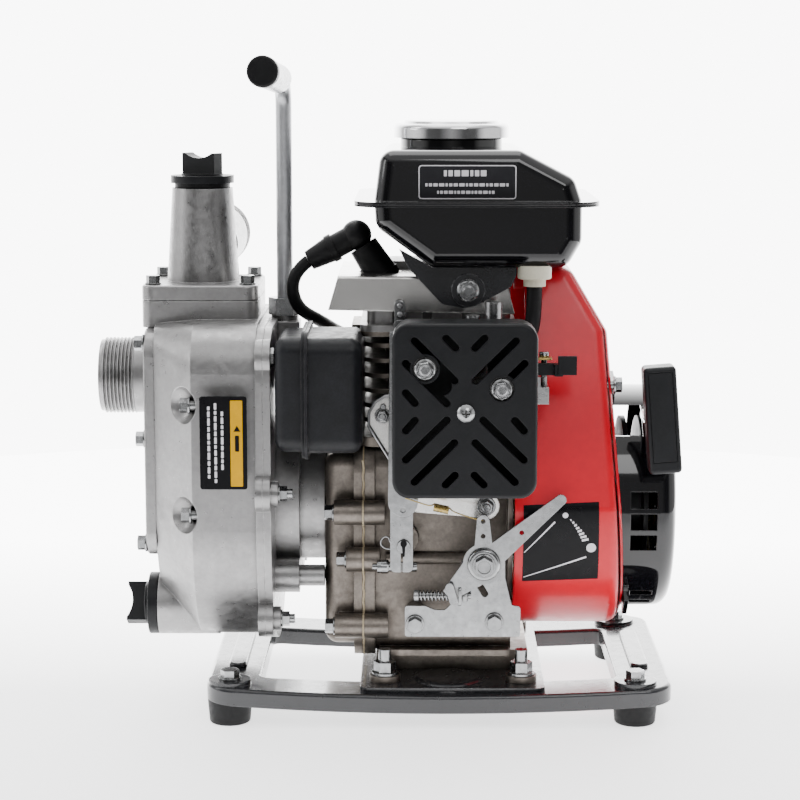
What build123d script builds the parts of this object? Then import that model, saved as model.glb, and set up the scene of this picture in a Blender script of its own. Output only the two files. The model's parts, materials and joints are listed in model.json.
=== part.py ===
"""Portable fire pump: a 1.5 inch self-priming pump close-coupled to a small petrol engine.

Millimetres, +Z up. The pump is at -X, the recoil starter at +X, the air cleaner and the
throttle face -Y. The working axes run through the crankshaft's plane on the ground; export
moves them to the middle of the machine's footprint.
"""
import os
from math import cos, pi, radians, sin

from build123d import *

# ---- driving dimensions ----------------------------------------------------------------
CRANK_Z = 127.0             # crankshaft axis above the ground, along X at Y = 0
CYL_X = 12.0                # upright cylinder's axis
BORE_R = 26.0
STROKE = 38.0
THREAD_R = 23.9             # G 1 1/2 male thread of the suction
OUT_THREAD_R = 20.95        # G 1 1/4 male thread of the discharge
THREAD_PITCH = 2.309
PORT_R = 18.5               # water passage
INLET_Z = 203.0
NECK_X = -135.0
OUTLET_Z = 285.8
CASING_LEFT = -160.8
CASING_RIGHT = -97.4
CASING_LOW = 38.6
CASING_TOP = 242.4
PLATE_LEFT = -167.4
BRACKET_X = -88.4           # right face of the pump's back plate
CASE_LEFT = -58.0           # left face of the crankcase cover
SPLIT_X = -33.8             # joint between the cover and the crankcase
CASE_RIGHT = 57.0
SHROUD_LEFT = 57.5
RECOIL_LEFT = 124.8
RECOIL_RIGHT = 156.4
RECOIL_R = 70.0
FRAME_X0, FRAME_X1, FRAME_Y = -129.0, 154.0, 91.5
RAIL = 32.0
SHEET = 2.5
TANK_SEAM_Z = 315.0
CLEAR = 0.05                # running clearance on a radius
GAP = 0.3                   # gap between bodies that pass each other
ROW_SHIFT = (21.6, 15.6, 0)  # from the working axes to the middle of the footprint

# ---- small tools -----------------------------------------------------------------------


def block(x0, x1, y0, y1, z0, z1):
    return Pos((x0 + x1) / 2, (y0 + y1) / 2, (z0 + z1) / 2) * Box(x1 - x0, y1 - y0, z1 - z0)


def rod_x(x0, x1, y, z, r):
    return Plane(origin=(x0, y, z), z_dir=(1, 0, 0)) * extrude(Circle(r), x1 - x0)


def rod_y(y0, y1, x, z, r):
    return Plane(origin=(x, y0, z), z_dir=(0, 1, 0)) * extrude(Circle(r), y1 - y0)


def rod_z(z0, z1, x, y, r):
    return Pos(x, y, z0) * extrude(Circle(r), z1 - z0)


def cone_z(z0, z1, x, y, r0, r1):
    return Pos(x, y, (z0 + z1) / 2) * Cone(r0, r1, z1 - z0)


def prism_x(face, x0, x1):
    """A face drawn in (y, z), extruded from x0 to x1."""
    return Plane(origin=(x0, 0, 0), x_dir=(0, 1, 0), z_dir=(1, 0, 0)) * extrude(face, x1 - x0)


def prism_y(face, y0, y1):
    """A face drawn in (x, z), extruded from y0 to y1."""
    return Plane(origin=(0, y1, 0), x_dir=(1, 0, 0), z_dir=(0, -1, 0)) * extrude(face, y1 - y0)


def prism_z(face, z0, z1):
    return Pos(0, 0, z0) * extrude(face, z1 - z0)


def polygon(*points):
    return make_face(Polyline(*points, close=True))


def round_rect(x0, x1, y0, y1, r):
    return Pos((x0 + x1) / 2, (y0 + y1) / 2) * RectangleRounded(x1 - x0, y1 - y0, r)


def slot(x0, y0, x1, y1, r):
    """A round-ended slot between two centres."""
    return SlotCenterPoint(((x0 + x1) / 2, (y0 + y1) / 2), (x1, y1), 2 * r).face()


def soften(shape, edges, radius):
    """Fillet the edges, or leave them when the kernel can't."""
    try:
        return fillet(edges, radius)
    except ValueError:
        return shape


def hexagon(across_flats):
    return RegularPolygon(across_flats / 2, 6, major_radius=False)


def bolt(x, y, z, out, flats, head, shank_r, shank, washer=0.0):
    """A hex bolt: the head stands on (x, y, z) towards `out` and the shank goes in."""
    ball = Pos(0, 0, head / 2 + washer / 2) * Sphere(flats * 0.66)
    body = extrude(hexagon(flats), head + washer) & ball
    if shank:
        body += Pos(0, 0, -shank) * extrude(Circle(shank_r), shank)
    if washer:
        body += extrude(Circle(flats * 0.68), washer)
    return Plane(origin=(x, y, z), z_dir=out) * body


def chamber(half, top, corner, low):
    """A square-topped, round-bottomed outline in (y, z)."""
    mid = low + half
    inner = top - corner
    k = corner * (1 - sin(pi / 4))
    return make_face([
        Line((half, mid), (half, inner)),
        ThreePointArc((half, inner), (half - k, top - k), (half - corner, top)),
        Line((half - corner, top), (corner - half, top)),
        ThreePointArc((corner - half, top), (k - half, top - k), (-half, inner)),
        Line((-half, inner), (-half, mid)),
        ThreePointArc((-half, mid), (0, low), (half, mid)),
    ])


def lofted(face_a, x_a, face_b, x_b):
    wires = []
    for face, x in ((face_a, x_a), (face_b, x_b)):
        plane = Plane(origin=(x, 0, 0), x_dir=(0, 1, 0), z_dir=(1, 0, 0))
        wires.append((plane.location * face).face().outer_wire())
    return Solid.make_loft(wires, ruled=True)


def round_bar(points, radii, r):
    """A round bar or cable along straight runs joined by arcs."""
    path = FilletPolyline(*points, radius=radii)
    start = Plane(origin=path @ 0, z_dir=path % 0)
    return sweep(start * Circle(r), path)


def wing(width, thick, tall, turn):
    """A thumb wing with a saddle on top, standing on the XY plane."""
    face = polygon((-width / 2, 0), (width / 2, 0), (width / 2, tall), (-width / 2, tall))
    shape = prism_y(face, -thick / 2, thick / 2)
    shape -= rod_y(-thick, thick, 0, tall + width * 0.62, width * 0.75)
    top = [e for e in shape.edges().filter_by(Axis.Y) if e.center().Z > tall / 2]
    shape = soften(shape, top, 1.6)
    return Rot(0, 0, turn) * shape


# ---- base frame ------------------------------------------------------------------------
SAG_TOP = (26.0, 20.4)      # rail top at the ends and at mid-span
SAG_LOW = (15.5, 9.5)
MID_X = (FRAME_X0 + FRAME_X1) / 2
FOOT_X = (-115.0, 132.0)
FOOT_Y = 75.0
MOUNT_X = (-20.5, 62.9)
MOUNT_Y = 66.0
PLATE_Z = (20.4, 23.4)
PLATE_X = (-35.5, 76.9)


def bowed_slab(x0, x1, low, top):
    """The band between two arcs that dip at mid-span, across the whole frame."""
    face = make_face([
        ThreePointArc((x0, low[0]), (MID_X, low[1]), (x1, low[0])),
        Line((x1, low[0]), (x1, top[0])),
        ThreePointArc((x1, top[0]), (MID_X, top[1]), (x0, top[0])),
        Line((x0, top[0]), (x0, low[0])),
    ])
    return prism_y(face, -FRAME_Y - 5, FRAME_Y + 5)


def ring(inset):
    outer = round_rect(FRAME_X0 + inset, FRAME_X1 - inset, -FRAME_Y + inset, FRAME_Y - inset, 18 - inset)
    grow = RAIL - inset
    inner = round_rect(FRAME_X0 + grow, FRAME_X1 - grow, -FRAME_Y + grow, FRAME_Y - grow, 6 + inset)
    return prism_z(outer - inner, 0, 60)


def base_frame():
    frame = ring(0) & bowed_slab(FRAME_X0 - 5, FRAME_X1 + 5, SAG_LOW, SAG_TOP)
    frame = soften(frame, [e for e in frame.edges() if e.center().Z > 19], 2.2)
    hollow_low = (SAG_LOW[0] - 20, SAG_LOW[1] - 20)
    hollow_top = (SAG_TOP[0] - SHEET, SAG_TOP[1] - SHEET)
    frame -= ring(SHEET) & bowed_slab(FRAME_X0 - 5, FRAME_X1 + 5, hollow_low, hollow_top)
    for x in FOOT_X:
        for y in (-FOOT_Y, FOOT_Y):
            frame += rod_z(21.5, 26.6, x, y, 13)
    for x in (FRAME_X0 + RAIL / 2, FRAME_X1 - RAIL / 2):
        ridge = prism_z(slot(x, -38, x, 38, 5.5), 24.8, 27.2)
        frame += soften(ridge, ridge.faces().sort_by(Axis.Z)[-1].edges(), 1.2)
    return frame


def engine_plate():
    x0, x1 = PLATE_X
    z0, z1 = PLATE_Z
    plate = prism_z(round_rect(x0, x1, -84, 84, 5), z0, z1)
    for xa, xb in ((x0, x0 + SHEET), (x1 - SHEET, x1)):
        plate += block(xa, xb, -59, 59, 10, z1)
    dome = Pos(18, -62, z1 - 1.5) * Cone(24, 19, 6)
    dome = soften(dome, dome.faces().sort_by(Axis.Z)[-1].edges(), 2.0)
    plate += dome
    plate -= prism_z(round_rect(-8, 46, -38, 38, 8), z0 - 1, z1 + 8)
    return plate


def rubber_feet():
    feet = []
    for x in FOOT_X:
        for y in (-FOOT_Y, FOOT_Y):
            foot = cone_z(0, 15.3, x, y, 12.4, 13.7)
            foot = soften(foot, foot.edges().sort_by(Axis.Z)[0], 1.5)
            feet.append(foot + rod_z(15.3, 21.5, x, y, 9))
    return Compound(feet)


def frame_bolts():
    group = []
    for x in FOOT_X:
        for y in (-FOOT_Y, FOOT_Y):
            group.append(bolt(x, y, 26.6, (0, 0, 1), 10, 4.6, 3.0, 22, washer=1.2))
    for x in MOUNT_X:
        for y in (-MOUNT_Y, MOUNT_Y):
            nut = bolt(x, y, 27.4, (0, 0, 1), 12, 6.4, 4.0, 14, washer=1.6)
            group.append(nut + rod_z(27, 43, x, y, 3.9))
    return Compound(group)


# ---- pump ------------------------------------------------------------------------------
WALL = 4.5
EARS = [(-83, 143), (-66, 62), (83, 143), (66, 62)]
TOP_EARS = [(-74, 224), (74, 224)]   # behind the muffler, so their screws have flat heads
POCKETS = [(-74, 195), (-74, 128), (74, 195), (74, 128)]
POCKET_R = 13.0
DRAIN_Y, DRAIN_Z = -20.0, 60.5
NECK_FLANGE = (-170.0, -98.6, 38.0)
NECK_SEAM_Z = 253.8         # joint between the casing's flange and the neck's
NECK_TOP = 263.3
NECK_BOLT_X = (-163.4, -105.2)
NECK_BOLT_Y = 29.0
COVER_BOLTS = [(y, z) for y in (-47, 47) for z in (229, 170, 105)]
TIE_Y, TIE_Z = 44.0, 84.0


def pump_casing():
    left = chamber(55, 240, 14, 66)
    big = chamber(80, CASING_TOP, 28, CASING_LOW)
    shoulder_x = -136.0
    body = lofted(left, CASING_LEFT, big, shoulder_x)
    body += prism_x(big, shoulder_x, CASING_RIGHT)
    body += prism_x(chamber(84, 240, 30, 36), CASING_RIGHT, CASING_RIGHT + WALL)
    x0, x1, half = NECK_FLANGE
    body += prism_z(round_rect(x0, x1, -half, half, 8), CASING_TOP - 5, NECK_SEAM_Z)
    body += rod_x(-163, -125, DRAIN_Y, DRAIN_Z, 19.5)
    for y, z in EARS + TOP_EARS:
        body += rod_x(CASING_RIGHT, CASING_RIGHT + WALL, y, z, 11)
    outer = body
    inner_left = chamber(55 - WALL, 240 - WALL, 10, 66 + WALL)
    inner = chamber(80 - WALL, CASING_TOP - WALL, 24, CASING_LOW + WALL)
    body -= lofted(inner_left, CASING_LEFT + WALL, inner, shoulder_x)
    body -= prism_x(inner, shoulder_x, CASING_RIGHT + WALL)
    for y, z in POCKETS:
        side = 1 if y > 0 else -1
        pocket = Pos(-146, y + side * 5, z)
        body += (rod_x(-137, CASING_RIGHT + WALL, y, z, 6.5) + pocket * Sphere(POCKET_R + WALL)) & outer
        body -= pocket * Sphere(POCKET_R)
    body -= prism_x(round_rect(-38, 38, 118, 228, 8), CASING_LEFT - 1, CASING_LEFT + WALL + 1)
    body -= rod_z(230, 260, NECK_X, 0, PORT_R)
    body -= rod_x(-164, -140, DRAIN_Y, DRAIN_Z, 14)
    return body


THREAD_DEPTH = 1.3
CREST = 0.5                 # flat top of a thread ridge, and the run of each flank
FLANK = 0.75


def threaded_pipe(length, crest_r):
    """A male pipe thread's ridges along +Z, from the plane z = 0, as plain rings."""
    root_r = crest_r - THREAD_DEPTH
    tube = extrude(Circle(root_r), length)
    turns = int(length / THREAD_PITCH)
    for i in range(turns):
        z = (i + 0.5) * THREAD_PITCH
        tube += Pos(0, 0, z) * Cylinder(crest_r, CREST)
        tube += Pos(0, 0, z - CREST / 2 - FLANK / 2) * Cone(root_r, crest_r, FLANK)
        tube += Pos(0, 0, z + CREST / 2 + FLANK / 2) * Cone(crest_r, root_r, FLANK)
    return tube


def suction_cover():
    plate = prism_x(round_rect(-55, 55, 96.5, 237.3, 16), PLATE_LEFT, CASING_LEFT)
    plate = soften(plate, plate.faces().sort_by(Axis.X)[0].edges(), 1.5)
    plate += rod_x(-178, PLATE_LEFT + 1, 0, INLET_Z, THREAD_R - 0.4)
    plate += Plane(origin=(-177, 0, INLET_Z), z_dir=(-1, 0, 0)) * threaded_pipe(22.6, THREAD_R)
    plate += rod_x(PLATE_LEFT - 2.4, PLATE_LEFT + 1, 0, 137, 15)
    plate += rod_x(CASING_LEFT - 1, -152.4, 0, INLET_Z, 22)
    for y in (-15, 15):
        plate += block(CASING_LEFT - 1, -146, y - 2, y + 2, 224, 227.9)
        plate += block(CASING_LEFT - 1, -146, y - 2, y + 2, 221.4, 224)
    plate -= rod_y(-20, 20, -149.4, 224.9, 1.5 + CLEAR)
    plate -= rod_x(-205, -150, 0, INLET_Z, PORT_R)
    return plate


def check_valve_flap():
    flap = rod_x(-152.1, -148.4, 0, INLET_Z, 20.5)
    flap += rod_x(-148.4, -145.4, 0, INLET_Z, 11)
    flap += block(-151.2, -147.6, -9, 9, 219, 226)
    return flap + rod_y(-17, 17, -149.4, 224.9, 1.5)


VOLUTE_R = 54.5             # its top stays below the check valve's flap
IMPELLER_R = 47.0


def volute_case():
    x0, x1 = -142.0, BRACKET_X - 4.7
    r = VOLUTE_R
    shell = rod_x(x0, x1, 0, CRANK_Z, r) + block(x0, x1, 16, r, CRANK_Z, CRANK_Z + r)
    shell -= rod_x(x0 + 4, x1, 0, CRANK_Z, r - 4) + block(x0 + 4, x1, 20, r - 4, CRANK_Z, CRANK_Z + r + 1)
    shell += rod_x(x0 - 8, x0 + 1, 0, CRANK_Z, 24)
    return shell - rod_x(x0 - 9, x0 + 5, 0, CRANK_Z, 20)


def impeller():
    wheel = rod_x(-118, -114, 0, CRANK_Z, IMPELLER_R) + rod_x(-130, -108, 0, CRANK_Z, 12)
    for i in range(6):
        turn = Pos(0, 0, CRANK_Z) * Rot(60 * i, 0, 0)
        wheel += turn * (block(-131, -117.5, 14, 16.6, -12, 46) & rod_x(-140, -100, 0, 0, IMPELLER_R - 0.5))
    return wheel - rod_x(-131, -104, 0, CRANK_Z, 6)


def shaft_seal():
    return rod_x(-104, -93, 0, CRANK_Z, 17) - rod_x(-105, -92, 0, CRANK_Z, 8 + CLEAR)


def pump_bracket():
    x0 = CASING_RIGHT + WALL
    body = prism_x(chamber(84, 240, 30, 36), x0, BRACKET_X)
    for y, z in EARS + TOP_EARS:
        body += rod_x(x0, BRACKET_X, y, z, 11)
    for y, z in EARS:
        body += rod_x(BRACKET_X - 1, BRACKET_X + 4.5, y, z, 7.5)
    body += rod_x(x0, -73.5, 0, CRANK_Z, 50) + rod_x(-74, CASE_LEFT, 0, CRANK_Z, 41)
    body -= rod_x(x0 + 5, CASE_LEFT + 1, 0, CRANK_Z, 37)
    for y in (-TIE_Y, TIE_Y):
        body += rod_x(x0 + 1, -73.5, y, TIE_Z, 10.5) + rod_x(-74, CASE_LEFT, y, TIE_Z, 6.6)
    body -= rod_x(x0 - 1, x0 + 6, 0, CRANK_Z, 17)
    body += block(x0, -74.5, -10, 10, 196, 238) - rod_y(-11, 11, -66, 196, 17)
    boss = rod_z(226, 241.7, -84.1, 0, 8.6)
    return body + boss


def discharge_neck():
    x0, x1, half = NECK_FLANGE
    plate = prism_z(round_rect(x0, x1, -half, half, 8), NECK_SEAM_Z + 0.5, NECK_TOP)
    plate = soften(plate, plate.faces().sort_by(Axis.Z)[-1].edges(), 1.5)
    neck = plate + cone_z(NECK_TOP - 1, 321, NECK_X, 0, 22.6, 18.8)
    neck += rod_y(0, 78, NECK_X + 1, OUTLET_Z, OUT_THREAD_R - 0.3)
    neck += Plane(origin=(NECK_X + 1, 78, OUTLET_Z), z_dir=(0, 1, 0)) * threaded_pipe(22, OUT_THREAD_R)
    neck -= rod_z(NECK_SEAM_Z, 312, NECK_X, 0, 16)
    neck -= rod_z(300, 322, NECK_X, 0, 14)
    return neck - rod_y(0, 101, NECK_X + 1, OUTLET_Z, PORT_R - 1.5)


def priming_plug():
    z0 = 324.1
    plug = rod_z(z0, z0 + 4.6, NECK_X, 0, 19.6) + rod_z(z0 + 4, z0 + 5.6, NECK_X, 0, 13)
    plug = soften(plug, plug.edges().filter_by(GeomType.CIRCLE), 0.8)
    plug += rod_z(308, z0 + 1, NECK_X, 0, 14 - GAP)
    return plug + Pos(NECK_X, 0, z0 + 4) * wing(24, 9, 14.4, -30)


def priming_plug_ring():
    return rod_z(321, 324, NECK_X, 0, 17.2) - rod_z(320, 325, NECK_X, 0, 14)


def drain_plug():
    plug = extrude(Circle(19.4), 6.4) + extrude(Circle(13), 9)
    plug = soften(plug, plug.edges().filter_by(GeomType.CIRCLE), 0.8)
    plug += Pos(0, 0, -12) * extrude(Circle(14 - GAP), 13)
    plug += Pos(0, 0, 6) * wing(25, 9, 14.4, -60)
    return Plane(origin=(-163.1, DRAIN_Y, DRAIN_Z), x_dir=(0, 1, 0), z_dir=(-1, 0, 0)) * plug


def pump_bolts():
    group = []
    for y, z in COVER_BOLTS:
        group.append(bolt(PLATE_LEFT, y, z, (-1, 0, 0), 8, 4.8, 3, 10, washer=1))
    for x in NECK_BOLT_X:
        for y in (-NECK_BOLT_Y, NECK_BOLT_Y):
            group.append(bolt(x, y, NECK_TOP, (0, 0, 1), 7.4, 4.6, 3, 14, washer=1))
    for y, z in POCKETS:
        group.append(bolt(-137, y, z, (-1, 0, 0), 8, 5, 3, 40, washer=1))
    for y, z in EARS:
        group.append(bolt(BRACKET_X + 4.5, y, z, (1, 0, 0), 8, 4.2, 3, 12, washer=1)
                     + rod_x(BRACKET_X + 4, BRACKET_X + 13, y, z, 2.9))
    for y, z in TOP_EARS:
        group.append(bolt(BRACKET_X, y, z, (1, 0, 0), 10, 2, 3, 8))
    return Compound(group)


HANDLE_X = -84.1
HANDLE_TIP = (-88.7, -120.0, 393.0)
HANDLE_TOP = (HANDLE_X, 0.0, 386.5)


def handle_point(share):
    """A point along the grip's axis, from the bend (0) to the tip (1)."""
    return tuple(a + share * (b - a) for a, b in zip(HANDLE_TOP, HANDLE_TIP))


def grip_piece(share_a, share_b, r, bore):
    a, b = Vector(*handle_point(share_a)), Vector(*handle_point(share_b))
    plane = Plane(origin=a, z_dir=b - a)
    length = (b - a).length
    return plane * (extrude(Circle(r), length) - extrude(Circle(bore), length))


def handle_rod():
    bend = round_bar([(HANDLE_X, 0, 230), HANDLE_TOP, handle_point(0.9)], [17], 5)
    return bend


def handle_locknut():
    nut = extrude(hexagon(18), 10.8) & (Pos(0, 0, 5.4) * Sphere(11.6))
    return Pos(HANDLE_X, 0, 241.7) * (nut - extrude(Circle(5), 11))


def handle_grip():
    return grip_piece(0.3, 0.93, 8.6, 5)


def handle_end_cap():
    a, b = Vector(*handle_point(0.93)), Vector(*handle_point(1))
    cap = Plane(origin=a, z_dir=b - a) * extrude(Circle(9.1), (b - a).length)
    return soften(cap, cap.edges().sort_by(Axis.Y)[0], 1.6)


# ---- engine: crankcase and cylinder ------------------------------------------------------
CASE_Y = 50.0
CASE_Z = (36.0, 165.0)
CASE_BOLTS = [(-58, 126.4, -51.6, -20.6), (-58, 55.4, -51.4, -18.6), (-58, 97.2, -44.2, -23.5),
              (58, 126.4, -51.6, -20.6), (58, 55.4, -51.4, -18.6)]
FIN_X = (-36.0, 60.0)
FIN_Y = 46.0
HEAD_Z = (236.0, 262.0)


def case_face(grow):
    z0, z1 = CASE_Z
    return round_rect(-CASE_Y - grow, CASE_Y + grow, z0 - grow, z1 + min(grow, 0), 12 + grow)


def crankcase():
    z0, z1 = CASE_Z
    body = prism_x(case_face(0), SPLIT_X + 0.5, CASE_RIGHT)
    body += prism_x(case_face(3), SPLIT_X + 0.5, SPLIT_X + 7)
    body += rod_x(CASE_RIGHT - 3, CASE_RIGHT, 0, CRANK_Z, 76) & block(0, 90, -90, 90, 0, z1)
    body += block(-24, 56, -57, 57, z0, z0 + 4)
    body += block(-26, 68, -41, 41, PLATE_Z[1], z0) - block(-30, 72, -30, 30, 0, z0 - 5)
    for x in MOUNT_X:
        for y in (-MOUNT_Y, MOUNT_Y):
            body += rod_z(PLATE_Z[1], 27.4, x, y, 9.5)
            toward = 40 if y > 0 else -40
            body += block(x - 6, x + 6, min(y, toward), max(y, toward), PLATE_Z[1], 27.2)
    body += rod_x(-20, 46, -CASE_Y, 96.5, 4)
    body += rod_y(-57, -CASE_Y + 2, *GOV_PIVOT, 9)
    for y, z, xa, xb in CASE_BOLTS:
        body += rod_x(SPLIT_X + 0.5, xb, y, z, 7.6)
        inner = CASE_Y - 3 if y > 0 else -CASE_Y + 3
        body += block(SPLIT_X + 0.5, xb - 3, min(y, inner), max(y, inner), z - 6, z + 6)
    body -= prism_x(case_face(-7), SPLIT_X, CASE_RIGHT - 12)
    body -= rod_z(150, z1 + 1, CYL_X, 0, BORE_R + 4)
    body -= rod_x(40, CASE_RIGHT + 1, 0, CRANK_Z, 16)
    body -= rod_y(-60, -40, *GOV_PIVOT, 4 + CLEAR)
    return body


def crankcase_cover():
    body = prism_x(case_face(-4), CASE_LEFT, SPLIT_X - 0.5)
    body = soften(body, body.faces().sort_by(Axis.X)[0].edges(), 8)
    body += prism_x(case_face(3), SPLIT_X - 6, SPLIT_X - 0.5)
    for y, z, xa, xb in CASE_BOLTS:
        body += rod_x(xa, SPLIT_X - 0.5, y, z, 7.6)
        inner = CASE_Y - 8 if y > 0 else -CASE_Y + 8
        body += block(xa + 2, SPLIT_X - 0.5, min(y, inner), max(y, inner), z - 6, z + 6)
    body -= prism_x(case_face(-9), CASE_LEFT + 6, SPLIT_X)
    body += rod_x(CASE_LEFT, -38, 0, CRANK_Z, 24)
    return body - rod_x(CASE_LEFT - 1, SPLIT_X, 0, CRANK_Z, 16)


def crankcase_gasket():
    ring_face = case_face(3.5) - case_face(-7)
    ring_body = prism_x(ring_face, SPLIT_X - 0.5, SPLIT_X + 0.5)
    for y, z, xa, xb in CASE_BOLTS:
        ring_body += rod_x(SPLIT_X - 0.5, SPLIT_X + 0.5, y, z, 7.9)
    return ring_body


def crankcase_bolts():
    group = []
    for y, z, xa, xb in CASE_BOLTS:
        group.append(bolt(xa, y, z, (-1, 0, 0), 8, 5, 3, xb - xa - 3, washer=1))
    return Compound(group)


def main_bearings():
    left = rod_x(-57, -44, 0, CRANK_Z, 16) - rod_x(-58, -43, 0, CRANK_Z, 8 + CLEAR)
    right = rod_x(42, 56, 0, CRANK_Z, 16) - rod_x(41, 57, 0, CRANK_Z, 8 + CLEAR)
    return Compound([left, right])


def crankshaft():
    shaft = rod_x(-130, CYL_X - 20, 0, CRANK_Z, 8) + rod_x(CYL_X + 20, 100, 0, CRANK_Z, 8)
    shaft = shaft - rod_x(-131, -106, 0, CRANK_Z, 9) + rod_x(-130, -105, 0, CRANK_Z, 6)
    throw_z = CRANK_Z + STROKE / 2
    for x0, x1 in ((CYL_X - 26, CYL_X - 12), (CYL_X + 12, CYL_X + 26)):
        shaft += rod_x(x0, x1, 0, CRANK_Z, 20) + rod_x(x0, x1, 0, throw_z, 12)
        shaft += block(x0, x1, -18, 18, CRANK_Z - 27, CRANK_Z)
    return shaft + rod_x(CYL_X - 13, CYL_X + 13, 0, throw_z, 8)


def cylinder_barrel():
    z0, z1 = CASE_Z[1], HEAD_Z[0]
    body = rod_z(z0 - 5, z1, CYL_X, 0, BORE_R + 4) + rod_z(z0, z1, CYL_X, 0, BORE_R + 7)
    body += prism_z(round_rect(*FIN_X, -FIN_Y, FIN_Y, 8), z0, z0 + 6)
    body += prism_z(round_rect(*FIN_X, -FIN_Y, FIN_Y, 8), z1 - 3, z1)
    for i in range(6):
        z = z0 + 14 + i * 9.4
        body += prism_z(round_rect(FIN_X[0] + 2, FIN_X[1] - 3, -FIN_Y + 2, FIN_Y - 2, 14), z, z + 2.6)
    for x, y in ((-25, 36), (47, -36), (47, 36)):
        body += rod_z(z0, z1, x, y, 7)
    body += block(FIN_X[0] - 6, FIN_X[0] + 2, -8, FIN_Y - 6, z0, z1)
    return body - rod_z(z0 - 13, z1 + 1, CYL_X, 0, BORE_R + CLEAR)


def piston():
    z0 = 178.0
    body = rod_z(z0, z0 + 34, CYL_X, 0, BORE_R)
    for z in (z0 + 20, z0 + 24.5, z0 + 29):
        body -= rod_z(z, z + 1.6, CYL_X, 0, BORE_R + 1) - rod_z(z, z + 1.6, CYL_X, 0, BORE_R - 0.7)
    body -= rod_z(z0 - 1, z0 + 28, CYL_X, 0, BORE_R - 4)
    body += rod_x(CYL_X - BORE_R + 2, CYL_X + BORE_R - 2, 0, z0 + 14, 6.5)
    return body


def cylinder_head():
    z0, z1 = HEAD_Z
    body = prism_z(round_rect(*FIN_X, -FIN_Y, FIN_Y, 8), z0, z0 + 4)
    body += prism_z(round_rect(FIN_X[0] + 4, FIN_X[1] - 4, -FIN_Y + 5, FIN_Y - 5, 6), z0 + 2, z1)
    for x in (-16, 2, 26):
        body -= block(x, x + 6, -FIN_Y, -FIN_Y + 12, z0 + 4, z1 + 1)
    for y in (10, 24):
        body -= block(FIN_X[0], -18, y, y + 8, z0 + 6, z1 + 1)
    body += prism_z(round_rect(-20, 34, 2, 40, 8), z1, z1 + 13)
    body -= Pos(0, 0, z0 - 8) * rod_z(0, 14, CYL_X, 0, BORE_R - 2)
    return body


def head_shroud():
    outer = polygon((-55, 250), (58, 247.5), (52, 270.5), (-49, 270.5))
    inner = polygon((-53.7, 240), (60, 240), (60, 269.3), (-47.6, 269.3))
    shell = prism_y(outer, -52, 50)
    front = [e for e in shell.edges() if abs(e.center().Y + 52) < 0.1 and e.center().Z > 269]
    shell = soften(shell, front, 2.0)
    shell -= prism_y(inner, -50.8, 51)
    shell -= prism_z(round_rect(-22, 36, 0, 42, 10), 268, 272)
    shell -= Pos(-24, -20, 269) * Cylinder(13, 8)
    return shell


PLUG_BASE = (-16.0, -20.0, 258.0)
PLUG_AXIS = (-0.54, 0.0, 0.84)
PLUG_ELBOW = (-38.5, -20.0, 293.0)
LEAD_EXIT = (-68.0, -20.0, 277.0)


def spark_plug():
    plug = Pos(0, 0, -12) * extrude(Circle(6), 13)
    plug += extrude(hexagon(16), 9)
    plug += Pos(0, 0, 9) * extrude(Circle(5.4), 18) + Pos(0, 0, 27) * extrude(Circle(3), 6)
    return Plane(origin=PLUG_BASE, x_dir=(0, 1, 0), z_dir=PLUG_AXIS) * plug


def spark_plug_cap():
    base = Plane(origin=PLUG_BASE, x_dir=(0, 1, 0), z_dir=PLUG_AXIS)
    boot = Pos(0, 0, 21.5) * Cone(10.5, 9.0, 25)
    boot += Pos(0, 0, 10) * extrude(Circle(11), 3.5)
    cap = base * boot + Pos(*PLUG_ELBOW) * Sphere(9.3)
    elbow, lead = Vector(*PLUG_ELBOW), Vector(*LEAD_EXIT)
    arm = Plane(origin=elbow, z_dir=lead - elbow)
    length = (lead - elbow).length
    cap += arm * extrude(Circle(7.6), length * 0.55)
    cap += arm * (Pos(0, 0, length * 0.5) * Cylinder(8.8, 4))
    cap += arm * (Pos(0, 0, length * 0.74) * Cone(8.4, 6.2, length * 0.5))
    cap -= base * (Pos(0, 0, 9) * extrude(Circle(5.4), 18) + Pos(0, 0, 27) * extrude(Circle(3), 6))
    cap -= base * (Pos(0, 0, -1) * extrude(Circle(9.6), 11))
    return cap


LEAD_R = 4.0
LEAD_ROUTE = [LEAD_EXIT, (-79, -20, 269), (-77, -17, 248), (-60, -4, 237), (-52, 24, 228),
              (-46, 56, 221), (-8, 62, 215), (32, 60, 210), (64, 50, 206)]


def cable_radii(points, limit):
    """The largest arcs that the runs of a cable leave room for."""
    radii = []
    for a, b, c in zip(points, points[1:], points[2:]):
        run_in, run_out = Vector(*b) - Vector(*a), Vector(*c) - Vector(*b)
        half_turn = radians(run_in.get_angle(run_out)) / 2
        best = 0.45 * min(run_in.length, run_out.length) * cos(half_turn) / sin(half_turn)
        radii.append(min(best, limit))
    return radii


def ht_lead():
    return round_bar(LEAD_ROUTE, cable_radii(LEAD_ROUTE, 120), LEAD_R)


def ignition_coil():
    coil = block(62, 84, 24, 54, 196, 212) - rod_x(50, 90, 0, CRANK_Z, 74)
    return soften(coil, coil.edges().filter_by(Axis.X), 2)


# ---- engine: flywheel, shroud and starter ------------------------------------------------
FLY_R = 72.0


def flywheel():
    wheel = rod_x(62, 80, 0, CRANK_Z, FLY_R) - rod_x(61, 74, 0, CRANK_Z, FLY_R - 8)
    wheel += rod_x(60, 80, 0, CRANK_Z, 16)
    for i in range(20):
        blade = block(79, 100, -1.2, 1.2, 44, FLY_R - 1)
        wheel += Pos(0, 0, CRANK_Z) * Rot(18 * i, 0, 0) * blade
    return wheel - rod_x(59, 101, 0, CRANK_Z, 8)


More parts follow.
